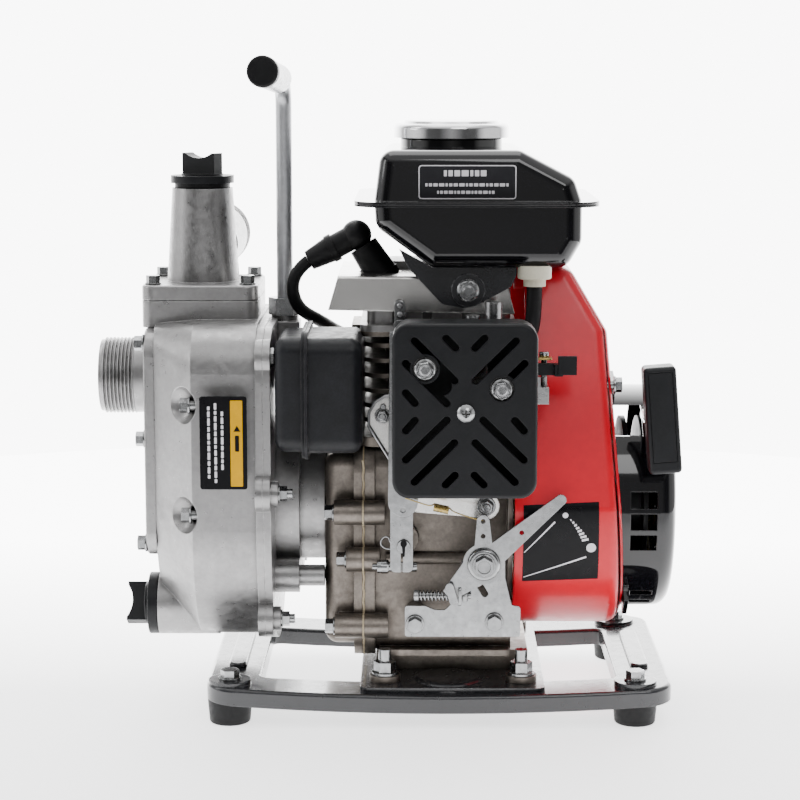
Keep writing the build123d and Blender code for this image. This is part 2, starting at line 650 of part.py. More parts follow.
def starter_cup():
    cup = rod_x(80, 122, 0, CRANK_Z, 34) - rod_x(84, 123, 0, CRANK_Z, 31.5)
    for i in range(6):
        spot = Pos(0, 0, CRANK_Z) * Rot(60 * i, 0, 0)
        cup -= spot * block(96, 112, -6, 6, 28, 38)
    return cup - rod_x(79, 101, 0, CRANK_Z, 8)


def shroud_solid(inset):
    """The fan shroud's outer form, or the space inside it when inset by its thickness."""
    half, low, top = 88.0 - inset, 46.6 + inset, 276.0 - inset
    right_low, right_high = 125.5 - inset, 114.4 - inset
    mid = low + half
    side = make_face([
        Line((half, mid), (40 - inset, top)),
        Line((40 - inset, top), (-40 + inset, top)),
        Line((-40 + inset, top), (-half, mid)),
        ThreePointArc((-half, mid), (0, low), (half, mid)),
    ])
    solid = prism_x(side, SHROUD_LEFT - (4 if inset else 0), right_low + 6)
    front = polygon((SHROUD_LEFT - 5, 0), (right_low + 0.5, 0), (right_low, 75), (right_high + 6, 151),
                    (right_high, 236.6), (93.5 - inset * 0.6, 272 - inset), (86, top + 0.01),
                    (SHROUD_LEFT - 5, top + 0.01))
    solid = solid & prism_y(front, -100, 100)
    if inset:
        return solid
    edges = [e for e in solid.edges() if e.center().X > SHROUD_LEFT + 1]
    for radius in (9, 7, 5, 3):
        rounded = soften(solid, edges, radius)
        if rounded is not solid:
            return rounded
    return solid


def fan_shroud():
    shell = shroud_solid(0) - shroud_solid(2.0)
    shell -= rod_x(110, 140, 0, CRANK_Z, RECOIL_R + GAP)
    shell -= block(50, 64, -60, 30, 160, 262)
    return shell


ROPE_X, ROPE_Y, ROPE_Z = 144.0, -71.0, 184.0    # front end of the rope's guide


def recoil_housing():
    cup = rod_x(RECOIL_LEFT - 7, RECOIL_RIGHT, 0, CRANK_Z, RECOIL_R)
    cup = soften(cup, cup.edges().sort_by(Axis.X)[-1], 9)
    hollow = rod_x(RECOIL_LEFT - 8, RECOIL_RIGHT - 2.4, 0, CRANK_Z, RECOIL_R - 2.4)
    cup -= soften(hollow, hollow.edges().sort_by(Axis.X)[-1], 6.6)
    cup &= block(118.6, RECOIL_RIGHT + 1, -80, 80, 40, 210)
    for angle in (0, -11, 11):
        turn = Pos(0, 0, CRANK_Z - 4) * Rot(angle, 0, 0)
        cup -= turn * block(RECOIL_LEFT + 3.5, RECOIL_RIGHT - 12, -80, -60, -5, 5)
    for angle in (62, 50):
        turn = Pos(0, 0, CRANK_Z) * Rot(angle, 0, 0)
        cup -= turn * block(RECOIL_LEFT + 6, RECOIL_RIGHT - 12, -80, -60, -3, 3)
    cup -= block(RECOIL_LEFT - 5, RECOIL_LEFT + 12, -80, -20, CRANK_Z + 46, CRANK_Z + 62)
    cup -= block(RECOIL_LEFT - 5, RECOIL_LEFT + 12, 20, 80, CRANK_Z - 30, CRANK_Z + 62)
    outer_face = Plane(origin=(RECOIL_RIGHT - 4, 0, CRANK_Z), x_dir=(0, 1, 0), z_dir=(1, 0, 0))
    for radius, count, sweep_angle in ((52, 9, 26), (36, 6, 34), (21, 4, 44)):
        for i in range(count):
            curve = CenterArc((0, 0), radius, i * 360 / count, sweep_angle)
            cup -= outer_face * extrude(SlotArc(curve, 5.4), 8)
    cup += rod_x(RECOIL_RIGHT - 33, RECOIL_RIGHT - 2, 0, CRANK_Z, 7)
    for angle, x in ((12, 118.6), (140, 126.0), (250, 124.6)):
        spot = Pos(0, 0, CRANK_Z) * Rot(angle, 0, 0)
        cup += spot * block(x, x + 3, -9, 9, RECOIL_R - 2, RECOIL_R + 10)
    cup += rod_y(ROPE_Y, -34, ROPE_X, ROPE_Z, 7.5)
    return cup - rod_y(ROPE_Y - 1, -20, ROPE_X, ROPE_Z, 3.5)


def starter_pulley():
    x0, x1 = 127.0, 141.0
    pulley = rod_x(x0, x1, 0, CRANK_Z, 50) - rod_x(x0 + 3, x1 - 3, 0, CRANK_Z, 60)
    pulley += rod_x(x0, x1, 0, CRANK_Z, 36)
    return pulley - rod_x(x0 - 1, x1 + 1, 0, CRANK_Z, 7 + CLEAR)


GRIP_Z = 189.0


def starter_grip():
    grip = Box(19.4, 18, 64)
    grip = fillet(grip.edges(), 2.6)
    grip -= Pos(0, -9, 2) * (Box(14.6, 1.2, 54) - Box(13.8, 2, 53.2))
    grip = Rot(0, -4.5, 0) * grip
    grip += Plane(origin=(0, 8, ROPE_Z - GRIP_Z), z_dir=(0, 1, 0)) * extrude(Circle(6.5), 6)
    return Pos(ROPE_X, ROPE_Y - GAP - 14, GRIP_Z) * grip


# ---- fuel, air and exhaust -------------------------------------------------------------
TANK_X = (-26.8, 97.4)
TANK_Y = 68.0
TANK_TOP = 346.6
TANK_LOW = 276.3
CAP_X = 20.0
CAP_Z = 352.2
AIR_X = (-15.3, 68.3)
AIR_Z = (148.7, 250.7)
AIR_MID = (26.5, 199.7)
AIR_Y = (-128.0, -108.0, -90.0)     # front, joint and back
AIR_NUTS = [(3.5, 224.3), (47.6, 212.8)]
CARB_X, CARB_Y = 51.0, -70.0
CHOKE_XY = (60.0, -80.0)


def tank_upper_solid(inset):
    x0, x1 = TANK_X
    x0, x1, top = x0 + inset, x1 - inset, TANK_TOP - inset
    side = polygon((x0, TANK_SEAM_Z), (x0 + 4, top), (60, top), (x1 - 5, top - 17), (x1, TANK_SEAM_Z))
    solid = prism_y(side, -TANK_Y + inset, TANK_Y - inset)
    edges = [e for e in solid.edges() if e.center().Z > TANK_SEAM_Z + 1]
    for radius in (9, 7, 5):
        rounded = soften(solid, edges, max(radius - inset, 2))
        if rounded is not solid:
            return rounded
    return solid


def tank_lower_solid(inset):
    x0, x1 = TANK_X
    x0, x1, low = x0 + inset, x1 - inset, TANK_LOW + inset
    side = polygon((x0, TANK_SEAM_Z), (x0 + 1, 301), (8, low), (x1 - 9, low), (x1, 292), (x1, TANK_SEAM_Z))
    solid = prism_y(side, -TANK_Y + inset, TANK_Y - inset)
    edges = [e for e in solid.edges() if e.center().Z < TANK_SEAM_Z - 1]
    for radius in (10, 8, 6, 4):
        rounded = soften(solid, edges, max(radius - inset, 2))
        if rounded is not solid:
            return rounded
    return solid


def tank_flange(z0, z1):
    flange = prism_z(round_rect(-38.9, 107.8, -79, 79, 22), z0, z1)
    return flange - block(TANK_X[0] + 2, TANK_X[1] - 2, -TANK_Y + 2, TANK_Y - 2, z0 - 1, z1 + 1)


def tank_upper():
    shell = tank_upper_solid(0) - tank_upper_solid(1.6)
    shell += tank_flange(TANK_SEAM_Z, TANK_SEAM_Z + 1.5)
    neck = rod_z(TANK_TOP - 1, CAP_Z - 0.2, CAP_X, 0, 31.5)
    neck = soften(neck, neck.edges().sort_by(Axis.Z)[-1], 1.0)
    return shell + neck - rod_z(TANK_TOP - 6, CAP_Z + 1, CAP_X, 0, 20)


def tank_lower():
    shell = tank_lower_solid(0) - tank_lower_solid(1.6)
    return shell + tank_flange(TANK_SEAM_Z - 1.6, TANK_SEAM_Z)


def fuel_cap():
    z0 = CAP_Z + 0.1
    cap = rod_z(z0, z0 + 8.6, CAP_X, 0, 35.6)
    cap = soften(cap, cap.edges().sort_by(Axis.Z)[-1], 3.2)
    cap += cone_z(z0 + 8.4, z0 + 10.2, CAP_X, 0, 30, 28.4)
    return cap - rod_z(z0 - 1, z0 + 5, CAP_X, 0, 33)


def fuel_cap_seal():
    z0 = CAP_Z
    seal = rod_z(z0 - 0.1, z0 + 2.2, CAP_X, 0, 30)
    return seal + rod_z(z0 - 14, z0, CAP_X, 0, 20 - GAP)


def tank_bracket():
    outline = polygon((-12, 287.4), (-6.6, 276), (14, 254), (26.5, 251.5), (34, 253), (55.6, 264.6),
                      (58.7, 272), (58.7, TANK_LOW), (8, TANK_LOW))
    plate = prism_y(outline, -56, -53.4)
    upright = [e for e in plate.edges().filter_by(Axis.Y) if e.center().Z < 274]
    plate = soften(plate, upright, 4)
    plate += rod_y(-57.6, -53.6, 29.6, 262.6, 10) - rod_y(-58, -55, 29.6, 262.6, 6)
    plate += block(9, SHROUD_LEFT - 0.3, -56, -20, TANK_LOW - 2.6, TANK_LOW)
    return plate + block(20, 39, -54, -40, 255, 263)


OUTLET_XY = (69.4, -57.5)
OUTLET_Z_STEPS = (265.2, 269.6, TANK_LOW + 1.6)   # its foot, its shoulder and its top
HOSE_R = 4.7


def fuel_outlet():
    x, y = OUTLET_XY
    low, shoulder, top = OUTLET_Z_STEPS
    body = rod_z(shoulder, top, x, y, 10.2)
    body = soften(body, body.edges().sort_by(Axis.Z)[0], 1.2)
    body += rod_z(low, shoulder, x, y, 6.7) - rod_z(low - 1, low + 3, x, y, HOSE_R + 0.1)
    return body - rod_z(low - 1, top + 1, x, y, 2.3)


HOSE_ROUTE = [(*OUTLET_XY, OUTLET_Z_STEPS[0] + 3), (69.4, -58.5, 246), (66, -64, 235), (56, -67, 230)]


def fuel_hose():
    radii = cable_radii(HOSE_ROUTE, 40)
    return round_bar(HOSE_ROUTE, radii, HOSE_R) - round_bar(HOSE_ROUTE, radii, HOSE_R - 2.1)


def carburettor():
    """Body with its flanges, float bowl, idle screw tower and the choke's side block."""
    y0, y1 = CARB_Y - 17.6, CARB_Y + 17
    body = block(30, 54, y0, y1, 205, 236)
    body = soften(body, body.edges().filter_by(Axis.Z), 4)
    body += block(50, 72, y0, CARB_Y + 3, 198, 214) + block(66, 77, y0, CARB_Y - 2, 198, 208)
    body += block(8, 54, -89.6, -84, 200, 236) + block(24, 50, -56, -46.2, 204, 232)
    body += rod_z(184, 205, CARB_X - 10, CARB_Y, 15.5) + rod_z(180, 184, CARB_X - 10, CARB_Y, 5)
    body += rod_z(236, 257, 44.5, CARB_Y, 5.2)
    body += rod_z(207, 213.4, 74.5, CARB_Y - 8, 1.9)
    body += rod_x(53, 60, -67, 230, 2.55)
    body -= rod_y(-95, -40, 32, 218, 9)
    return body - rod_z(200, 220, *CHOKE_XY, 2 + CLEAR)


def choke_lever():
    x, y = CHOKE_XY
    lever = rod_z(204, 215, x, y, 2) + rod_z(214.4, 224, x, y, 5)
    lever += block(x, 84, y - 6, y - 2, 215, 222) + block(82, 93, y - 12, y - 8, 216, 227)
    return lever + block(80, 85, y - 11, y - 2, 215, 222)


def air_slots(y0, y1):
    """The cover's diagonal slots, mirrored into four quadrants about its middle."""
    pattern = [(6, 18, 29, 41), (10.4, 4.8, 34, 28), (5.6, 37, 11, 42.5), (28.7, 5, 34, 11)]
    short = (23, 17, 34, 28)            # beside the right nut
    slots = [prism_y(slot(-17 + AIR_MID[0], 19 + AIR_MID[1], -13 + AIR_MID[0], 15 + AIR_MID[1], 5.5), y0, y1)]
    for row, (xa, za, xb, zb) in enumerate(pattern):
        for sx in (-1, 1):
            for sz in (-1, 1):
                if (sx, sz) == (1, 1) and row == 3:
                    continue
                if (sx, sz) == (1, 1) and row == 1:
                    xa, za, xb, zb = short
                shape = slot(AIR_MID[0] + sx * xa, AIR_MID[1] + sz * za,
                             AIR_MID[0] + sx * xb, AIR_MID[1] + sz * zb, 2.2)
                slots.append(prism_y(shape, y0, y1))
    return slots


def air_cleaner_cover():
    front, joint, _ = AIR_Y
    face = round_rect(*AIR_X, *AIR_Z, 10)
    cover = prism_y(face, front, joint)
    cover = soften(cover, cover.faces().sort_by(Axis.Y)[0].edges(), 2.4)
    inner = round_rect(AIR_X[0] + 2.4, AIR_X[1] - 2.4, AIR_Z[0] + 2.4, AIR_Z[1] - 2.4, 8)
    cover -= prism_y(inner, front + 2.6, joint + 1)
    for piece in air_slots(front - 1, front + 4):
        cover -= piece
    for x, z in AIR_NUTS:
        cover += rod_y(front + 1, joint, x, z, 8.6)
        cover -= rod_y(front - 1, front + 4, x, z, 7) + rod_y(front + 3, joint + 1, x, z, 3.6)
    cover += rod_y(front + 1, joint, AIR_MID[0] + 0.6, AIR_MID[1] - 0.8, 6)
    return cover


def air_cleaner_case():
    _, joint, back = AIR_Y
    face = round_rect(AIR_X[0] + 1, AIR_X[1] - 1, AIR_Z[0] + 1, AIR_Z[1] - 1, 9)
    case = prism_y(face, joint, back)
    case = soften(case, case.faces().sort_by(Axis.Y)[-1].edges(), 5)
    inner = round_rect(AIR_X[0] + 3.4, AIR_X[1] - 3.4, AIR_Z[0] + 3.4, AIR_Z[1] - 3.4, 7)
    case -= prism_y(inner, joint - 1, back - 3)
    for x, z in AIR_NUTS:
        case += rod_y(joint, back - 1, x, z, 8.6) - rod_y(joint - 1, back + 1, x, z, 3.6)
    case += rod_y(joint, back - 1, AIR_MID[0] + 0.6, AIR_MID[1] - 0.8, 6)
    return case - rod_y(back - 4, back + 1, 32, 218, 9)


MUFFLER_Y = (-93.0, -20.0)
MUFFLER_Z = (168.0, 237.0)
SEAM_X = -67.6
SEAM_EDGE = 3.8             # how far the seam's flange stands proud
SEAM_HALF = 2.0


def muffler_shell(x_seam, x_end, y0, y1):
    """A stamped half of the muffler, with its seam flange, open at the seam."""
    out = 1 if x_end > x_seam else -1
    reach = abs(x_end - x_seam)
    plane = Plane(origin=(x_seam, 0, 0), x_dir=(0, out, 0), z_dir=(out, 0, 0))
    ya, yb = sorted((y0 * out, y1 * out))
    z0, z1 = MUFFLER_Z
    cup = extrude(round_rect(ya, yb, z0, z1, 9), reach)
    cup = soften(cup, cup.faces().sort_by(Axis.Z)[-1].edges(), 7)
    edge = SEAM_EDGE
    cup += extrude(round_rect(ya - edge, yb + edge, z0 - edge, z1 + edge, 9 + edge), SEAM_HALF)
    hollow = Pos(0, 0, -1) * extrude(round_rect(ya + 1.6, yb - 1.6, z0 + 1.6, z1 - 1.6, 7.4), reach - 0.6)
    hollow = soften(hollow, hollow.faces().sort_by(Axis.Z)[-1].edges(), 5.4)
    return plane * (cup - hollow)


def muffler_left_shell():
    return muffler_shell(SEAM_X, -85.6, MUFFLER_Y[0] + 4, MUFFLER_Y[1] - 4)


def muffler_right_shell():
    shell = muffler_shell(SEAM_X, -33.4, MUFFLER_Y[0], MUFFLER_Y[1])
    shell += rod_y(MUFFLER_Y[1] - 2, -8, -50, 204, 10) + rod_x(-50, FIN_X[0] + 1.9, -12, 204, 8)
    return shell


# ---- controls --------------------------------------------------------------------------
PIVOT = (38.9, 102.3)
LEVER_Y = -92.6             # front face of the throttle lever's plate
THROTTLE_Y = -82.0            # back of the throttle plate
GOV_PIVOT = (-9.0, 110.0)
GOV_TOP = 247.0
ROD_Z = 241.5
THROTTLE_ARM_X = 32.0
SHOULDER_BOLTS = [(-2.1, 63.5), (45.6, 64.9)]


def throttle_bracket():
    outline = polygon((-8.2, 55.5), (61.3, 55.5), (61.3, 74), (56, 75), (52, 92), (PIVOT[0] + 13, PIVOT[1]),
                      (PIVOT[0], PIVOT[1] + 13), (PIVOT[0] - 13, PIVOT[1]), (22, 78), (16, 72), (10, 72),
                      (4, 74.5), (-8.2, 74.5))
    plate = prism_y(outline, THROTTLE_Y - 2, THROTTLE_Y)
    corners = plate.edges().filter_by(Axis.Y)
    plate = soften(plate, corners, 1.6)
    plate -= prism_y(slot(PIVOT[0] - 1.8, PIVOT[1] - 15.4, PIVOT[0] + 1, PIVOT[1] - 20.2, 2.0), -90, -70)
    for x, z in SHOULDER_BOLTS:
        plate += rod_y(THROTTLE_Y - 1, -CASE_Y - 0.01, x, z, 6)
    plate += rod_y(LEVER_Y - 8.2, THROTTLE_Y - 1, *PIVOT, 4)
    return plate + rod_y(LEVER_Y + 2.1, THROTTLE_Y - 1, *PIVOT, 9)


def arm_outline(angle, r_hub, length, half_tip):
    """A tapered arm from the pivot, in (x, z) about the pivot."""
    a = radians(angle)
    along, across = (cos(a), sin(a)), (-sin(a), cos(a))
    corners = []
    for distance, half in ((0, r_hub), (length, half_tip), (length, -half_tip), (0, -r_hub)):
        corners.append((PIVOT[0] + along[0] * distance + across[0] * half,
                        PIVOT[1] + along[1] * distance + across[1] * half))
    return polygon(*corners)


UP_ARM = 26.0               # reach of the throttle lever's upright arm


def throttle_lever():
    y0, y1 = LEVER_Y, LEVER_Y + 2.0
    lever = rod_y(y0, y1, *PIVOT, 12.5) + prism_y(arm_outline(40.5, 7.5, 60, 3.2), y0, y1)
    tip = (PIVOT[0] + 60 * cos(radians(40.5)), PIVOT[1] + 60 * sin(radians(40.5)))
    lever += rod_y(y0, y1, *tip, 3.2)
    lever += prism_y(arm_outline(91, 6.5, UP_ARM, 3.8), y0, y1)
    lever += rod_y(y0, y1, PIVOT[0] - 0.5, PIVOT[1] + UP_ARM, 3.8)
    lever += prism_y(arm_outline(222, 11, 29, 4), y0, y1)
    lever += rod_y(y0 - 3.4, y0 + 0.5, *PIVOT, 9.8)
    lever = soften(lever, [e for e in lever.edges().filter_by(GeomType.CIRCLE)
                           if e.center().Y < y0 - 3], 2)
    lever -= rod_y(y0 - 10, y1 + 1, *PIVOT, 4 + CLEAR)
    for up in (UP_ARM, UP_ARM - 9):
        lever -= rod_y(y0 - 1, y1 + 1, PIVOT[0] - 0.5, PIVOT[1] + up, 1.4)
    return lever - rod_y(y0 - 1, y1 + 1, PIVOT[0] + 29.5 * cos(radians(40.5)),
                         PIVOT[1] + 29.5 * sin(radians(40.5)), 1.4)


def governor_lever():
    """The upright lever on the governor's shaft, with its clamp bolt."""
    y0, y1 = -79.0, -77.0
    x, z = GOV_PIVOT
    clamp_z = z - 13.4
    plate = polygon((x - 8, z - 16), (x + 5.6, z - 16), (x + 5.6, z + 34), (x + 4, GOV_TOP),
                    (x - 6, GOV_TOP), (x - 8, z + 34))
    lever = prism_y(plate, y0, y1)
    lever = soften(lever, lever.edges().filter_by(Axis.Y), 3)
    lever += rod_y(y0 - 2, -52, x, z, 4) + rod_x(x - 13, x + 8, y0 + 4, clamp_z, 3)
    lever -= block(x - 1.7, x - 0.3, y0 - 1, y1 + 1, z - 17, z - 4)
    lever += rod_x(x - 16, x - 10, y0 + 4, clamp_z, 4)
    for up in (38, 52, 66):
        lever -= rod_y(y0 - 1, y1 + 1, x - 1, z + up, 1.2)
    return lever


def governor_rod():
    x = GOV_PIVOT[0]
    rod = rod_y(-82.4, -77.1, x - 1, ROD_Z, 1.6)
    return rod + rod_x(x - 1, THROTTLE_ARM_X, -80.6, ROD_Z, 1.0)


def governor_spring():
    """The close-wound spring between the governor lever and the throttle, with its straight wires."""
    y, z = -84.5, 141.0
    spring = rod_x(11.5, 26.5, y, z, 3.2) - rod_x(12.5, 25.5, y, z, 2.2)
    return spring + rod_x(-5, 12, y, z, 0.6) + rod_x(26, 32, y, z, 0.6)


def carb_throttle_arm():
    """Arm on the carburettor's throttle shaft, moved by the governor rod."""
    arm = rod_z(236.3, 249, THROTTLE_ARM_X, CARB_Y, 2) + rod_z(245, 249, THROTTLE_ARM_X, CARB_Y, 4.5)
    return arm + block(THROTTLE_ARM_X - 3, THROTTLE_ARM_X + 3, CARB_Y - 13, CARB_Y, 246, 248)


def engine_bolts():
    group = []
    front = AIR_Y[0]
    for x, z in AIR_NUTS:
        nut = bolt(x, front + 4, z, (0, -1, 0), 10, 5.2, 3, 9, washer=1.4)
        group.append(nut)
    group.append(bolt(29.6, -56.6, 262.6, (0, -1, 0), 10, 5, 3, 14, washer=1.6))
    for x, z in SHOULDER_BOLTS:
        group.append(bolt(x, THROTTLE_Y - 2, z, (0, -1, 0), 8, 4.2, 2.9, 36, washer=1.8))
    screw = Plane(origin=(AIR_MID[0] + 0.6, front, AIR_MID[1] - 0.8), z_dir=(0, -1, 0)) \
        * ((extrude(Circle(5.2), 3.2) & (Pos(0, 0, -3) * Sphere(6.6))) + Pos(0, 0, -8) * extrude(Circle(2), 9)
           - Pos(0, 0, 2) * Box(4.6, 1, 3) - Pos(0, 0, 2) * Box(1, 4.6, 3))
    group.append(screw)
    for y, z in ((-55, 205), (55, 205), (0, 66)):
        group.append(bolt(118.0 + (6.9 if z < 100 else 0), y, z, (1, 0, 0), 8, 4, 2.9, 8, washer=1))
    pivot_nut = bolt(PIVOT[0], LEVER_Y - 3.6, PIVOT[1], (0, -1, 0), 10, 4.4, 3, 0, washer=1.0)
    group.append(pivot_nut - rod_y(-110, -80, *PIVOT, 4))
    return Compound(group)


NODES = (base_frame, engine_plate, rubber_feet, frame_bolts, pump_casing, suction_cover,
         check_valve_flap, volute_case, impeller, shaft_seal, pump_bracket, discharge_neck,
         priming_plug, priming_plug_ring, drain_plug, pump_bolts, handle_rod, handle_locknut,
         handle_grip, handle_end_cap, crankcase, crankcase_cover, crankcase_gasket,
         crankcase_bolts, main_bearings, crankshaft, cylinder_barrel, piston, cylinder_head,
         head_shroud, spark_plug, spark_plug_cap, ht_lead, ignition_coil, flywheel,
         starter_cup, fan_shroud, recoil_housing, starter_pulley, starter_grip,
         tank_upper, tank_lower, fuel_cap, fuel_cap_seal, tank_bracket, fuel_outlet, fuel_hose,
         carburettor, choke_lever, air_cleaner_case, air_cleaner_cover, muffler_left_shell,
         muffler_right_shell, throttle_bracket, throttle_lever, governor_lever, governor_rod,
         governor_spring, carb_throttle_arm, engine_bolts)

# which pieces are let into which: each target has the pieces on its right cut out of it
SEATS = {
    "base_frame": ("frame_bolts",),
    "engine_plate": ("base_frame", "frame_bolts"),
    "rubber_feet": ("base_frame", "frame_bolts"),
    "pump_casing": ("pump_bolts",),
    "suction_cover": ("pump_bolts",),
    "pump_bracket": ("pump_bolts", "handle_rod"),
    "discharge_neck": ("pump_bolts",),
    "crankcase": ("cylinder_barrel", "crankcase_bolts", "frame_bolts", "throttle_bracket", "engine_bolts"),
    "crankcase_cover": ("crankcase_bolts",),
    "crankcase_gasket": ("crankcase_bolts",),
    "cylinder_barrel": ("muffler_right_shell",),
    "cylinder_head": ("spark_plug", "spark_plug_cap", "tank_bracket"),
    "head_shroud": ("tank_bracket", "engine_bolts", "spark_plug_cap"),
    "tank_bracket": ("engine_bolts",),
    "tank_lower": ("fuel_outlet",),
    "fuel_outlet": ("fuel_hose",),
    "carburettor": ("fuel_hose",),
    "ignition_coil": ("ht_lead",),
    "fan_shroud": ("engine_bolts",),
    "throttle_bracket": ("engine_bolts",),
    "air_cleaner_cover": ("engine_bolts",),
    "governor_lever": ("governor_rod",),
}

PARTS = {make.__name__: make() for make in NODES}
for target, cutters in SEATS.items():
    for cutter in cutters:
        PARTS[target] = PARTS[target] - PARTS[cutter]
    chips = [solid for solid in PARTS[target].solids() if solid.volume < 1]
    for chip in chips:
        PARTS[target] = PARTS[target] - chip

os.makedirs("parts", exist_ok=True)
for name, shape in PARTS.items():
    export_step(Pos(*ROW_SHIFT) * shape, f"parts/{name}.step")
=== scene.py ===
"""Looks for the portable fire pump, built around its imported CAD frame."""
import json
from math import atan, cos, pi, radians, sin, sqrt

import bmesh
import bpy
from mathutils import Matrix, Vector


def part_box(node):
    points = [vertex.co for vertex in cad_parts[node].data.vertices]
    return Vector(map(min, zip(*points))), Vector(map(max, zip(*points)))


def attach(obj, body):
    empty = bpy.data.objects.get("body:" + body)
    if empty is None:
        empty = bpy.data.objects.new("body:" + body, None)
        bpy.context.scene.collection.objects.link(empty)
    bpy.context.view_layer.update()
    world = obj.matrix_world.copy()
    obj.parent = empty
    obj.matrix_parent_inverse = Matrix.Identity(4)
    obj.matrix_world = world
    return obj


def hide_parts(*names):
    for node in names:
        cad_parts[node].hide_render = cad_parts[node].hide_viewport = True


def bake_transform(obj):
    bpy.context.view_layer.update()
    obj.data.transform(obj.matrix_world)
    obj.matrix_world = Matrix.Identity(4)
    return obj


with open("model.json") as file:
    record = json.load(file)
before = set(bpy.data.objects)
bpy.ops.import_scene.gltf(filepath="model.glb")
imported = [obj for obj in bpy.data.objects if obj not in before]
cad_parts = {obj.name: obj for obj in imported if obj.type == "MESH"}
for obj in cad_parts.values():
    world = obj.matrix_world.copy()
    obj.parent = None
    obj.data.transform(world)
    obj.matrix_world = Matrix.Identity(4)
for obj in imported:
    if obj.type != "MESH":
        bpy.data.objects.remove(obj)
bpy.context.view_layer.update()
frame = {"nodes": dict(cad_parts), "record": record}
MM = 0.001
JOINTS = {joint["name"]: joint for joint in frame["record"]["behaviour"]["joints"]}
CRANK = Vector(JOINTS["crank_spin"]["pos_m"]) / MM
# the working axes start on the ground, under the crankshaft's axis and a little left of its joint
JOINT_X = 12
ORIGIN = Vector((CRANK.x - JOINT_X, CRANK.y, 0))


def at(x, y, z):
    """A place in the working axes, in mm, as metres in the row frame."""
    return (Vector((x, y, z)) + ORIGIN) * MM


def extent(node):
    """A node's lowest and highest corners in the working axes, in mm."""
    low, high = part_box(node)
    return low / MM - ORIGIN, high / MM - ORIGIN


# ---- materials -------------------------------------------------------------------------
RANGE_SOCKETS = ("From Min", "From Max", "To Min", "To Max")


class Graph:
    """One material's nodes, with short ways to add the ones used here."""

    def __init__(self, name, stretch=(1, 1, 1)):
        self.material = bpy.data.materials.new(name)
        self.material.use_nodes = True
        self.nodes = self.material.node_tree.nodes
        self.links = self.material.node_tree.links
        self.shader = self.nodes["Principled BSDF"]
        place = self.nodes.new("ShaderNodeTexCoord").outputs["Object"]
        mapping = self.nodes.new("ShaderNodeMapping")
        mapping.inputs["Scale"].default_value = stretch
        self.links.new(place, mapping.inputs["Vector"])
        self.place = mapping.outputs["Vector"]

    def noise(self, size, detail=3.0, rough=0.55):
        """Noise with features about `size` mm across."""
        node = self.nodes.new("ShaderNodeTexNoise")
        node.inputs["Scale"].default_value = 1 / (size * MM)
        node.inputs["Detail"].default_value = detail
        node.inputs["Roughness"].default_value = rough
        self.links.new(self.place, node.inputs["Vector"])
        return node.outputs["Fac"]

    def cells(self, size):
        """The distance from the middle of the nearest cell, the cells being about `size` mm across."""
        node = self.nodes.new("ShaderNodeTexVoronoi")
        node.inputs["Scale"].default_value = 1 / (size * MM)
        self.links.new(self.place, node.inputs["Vector"])
        return node.outputs["Distance"]

    def spread(self, value, low, high, to_low=0.0, to_high=1.0):
        """Maps low..high onto to_low..to_high, held at the ends."""
        node = self.nodes.new("ShaderNodeMapRange")
        for socket, number in zip(RANGE_SOCKETS, (low, high, to_low, to_high)):
            node.inputs[socket].default_value = number
        self.links.new(value, node.inputs["Value"])
        return node.outputs["Result"]

    def mix(self, share, a, b, blend="MIX"):
        """Colours or sockets a and b, mixed by a socket or number."""
        node = self.nodes.new("ShaderNodeMix")
        node.data_type = "RGBA"
        node.blend_type = blend
        for socket, value in ((node.inputs[0], share), (node.inputs[6], a), (node.inputs[7], b)):
            if isinstance(value, bpy.types.NodeSocket):
                self.links.new(value, socket)
            else:
                socket.default_value = value if isinstance(value, (int, float)) else (*value[:3], 1)
        return node.outputs[2]

    def multiply(self, a, b):
        node = self.nodes.new("ShaderNodeMath")
        node.operation = "MULTIPLY"
        self.links.new(a, node.inputs[0])
        if isinstance(b, bpy.types.NodeSocket):
            self.links.new(b, node.inputs[1])
        else:
            node.inputs[1].default_value = b
        return node.outputs[0]

    def hollows(self, reach):
        """1 in open places, towards 0 in the corners within `reach` mm."""
        node = self.nodes.new("ShaderNodeAmbientOcclusion")
        node.inputs["Distance"].default_value = reach * MM
        node.samples = 6
        return node.outputs["AO"]

    def edges(self, radius):
        """The rounded normal, and how far it leaves the true one: 1 along an edge."""
        bevel = self.nodes.new("ShaderNodeBevel")
        bevel.inputs["Radius"].default_value = radius * MM
        bevel.samples = 4
        true = self.nodes.new("ShaderNodeNewGeometry")
        dot = self.nodes.new("ShaderNodeVectorMath")
        dot.operation = "DOT_PRODUCT"
        self.links.new(bevel.outputs["Normal"], dot.inputs[0])
        self.links.new(true.outputs["Normal"], dot.inputs[1])
        return bevel.outputs["Normal"], self.spread(dot.outputs["Value"], 0.995, 0.86)

    def bump(self, height, depth, normal=None):
        """A normal with relief up to `depth` mm."""
        node = self.nodes.new("ShaderNodeBump")
        node.inputs["Distance"].default_value = depth * MM
        self.links.new(height, node.inputs["Height"])
        if normal is not None:
            self.links.new(normal, node.inputs["Normal"])
        return node.outputs["Normal"]


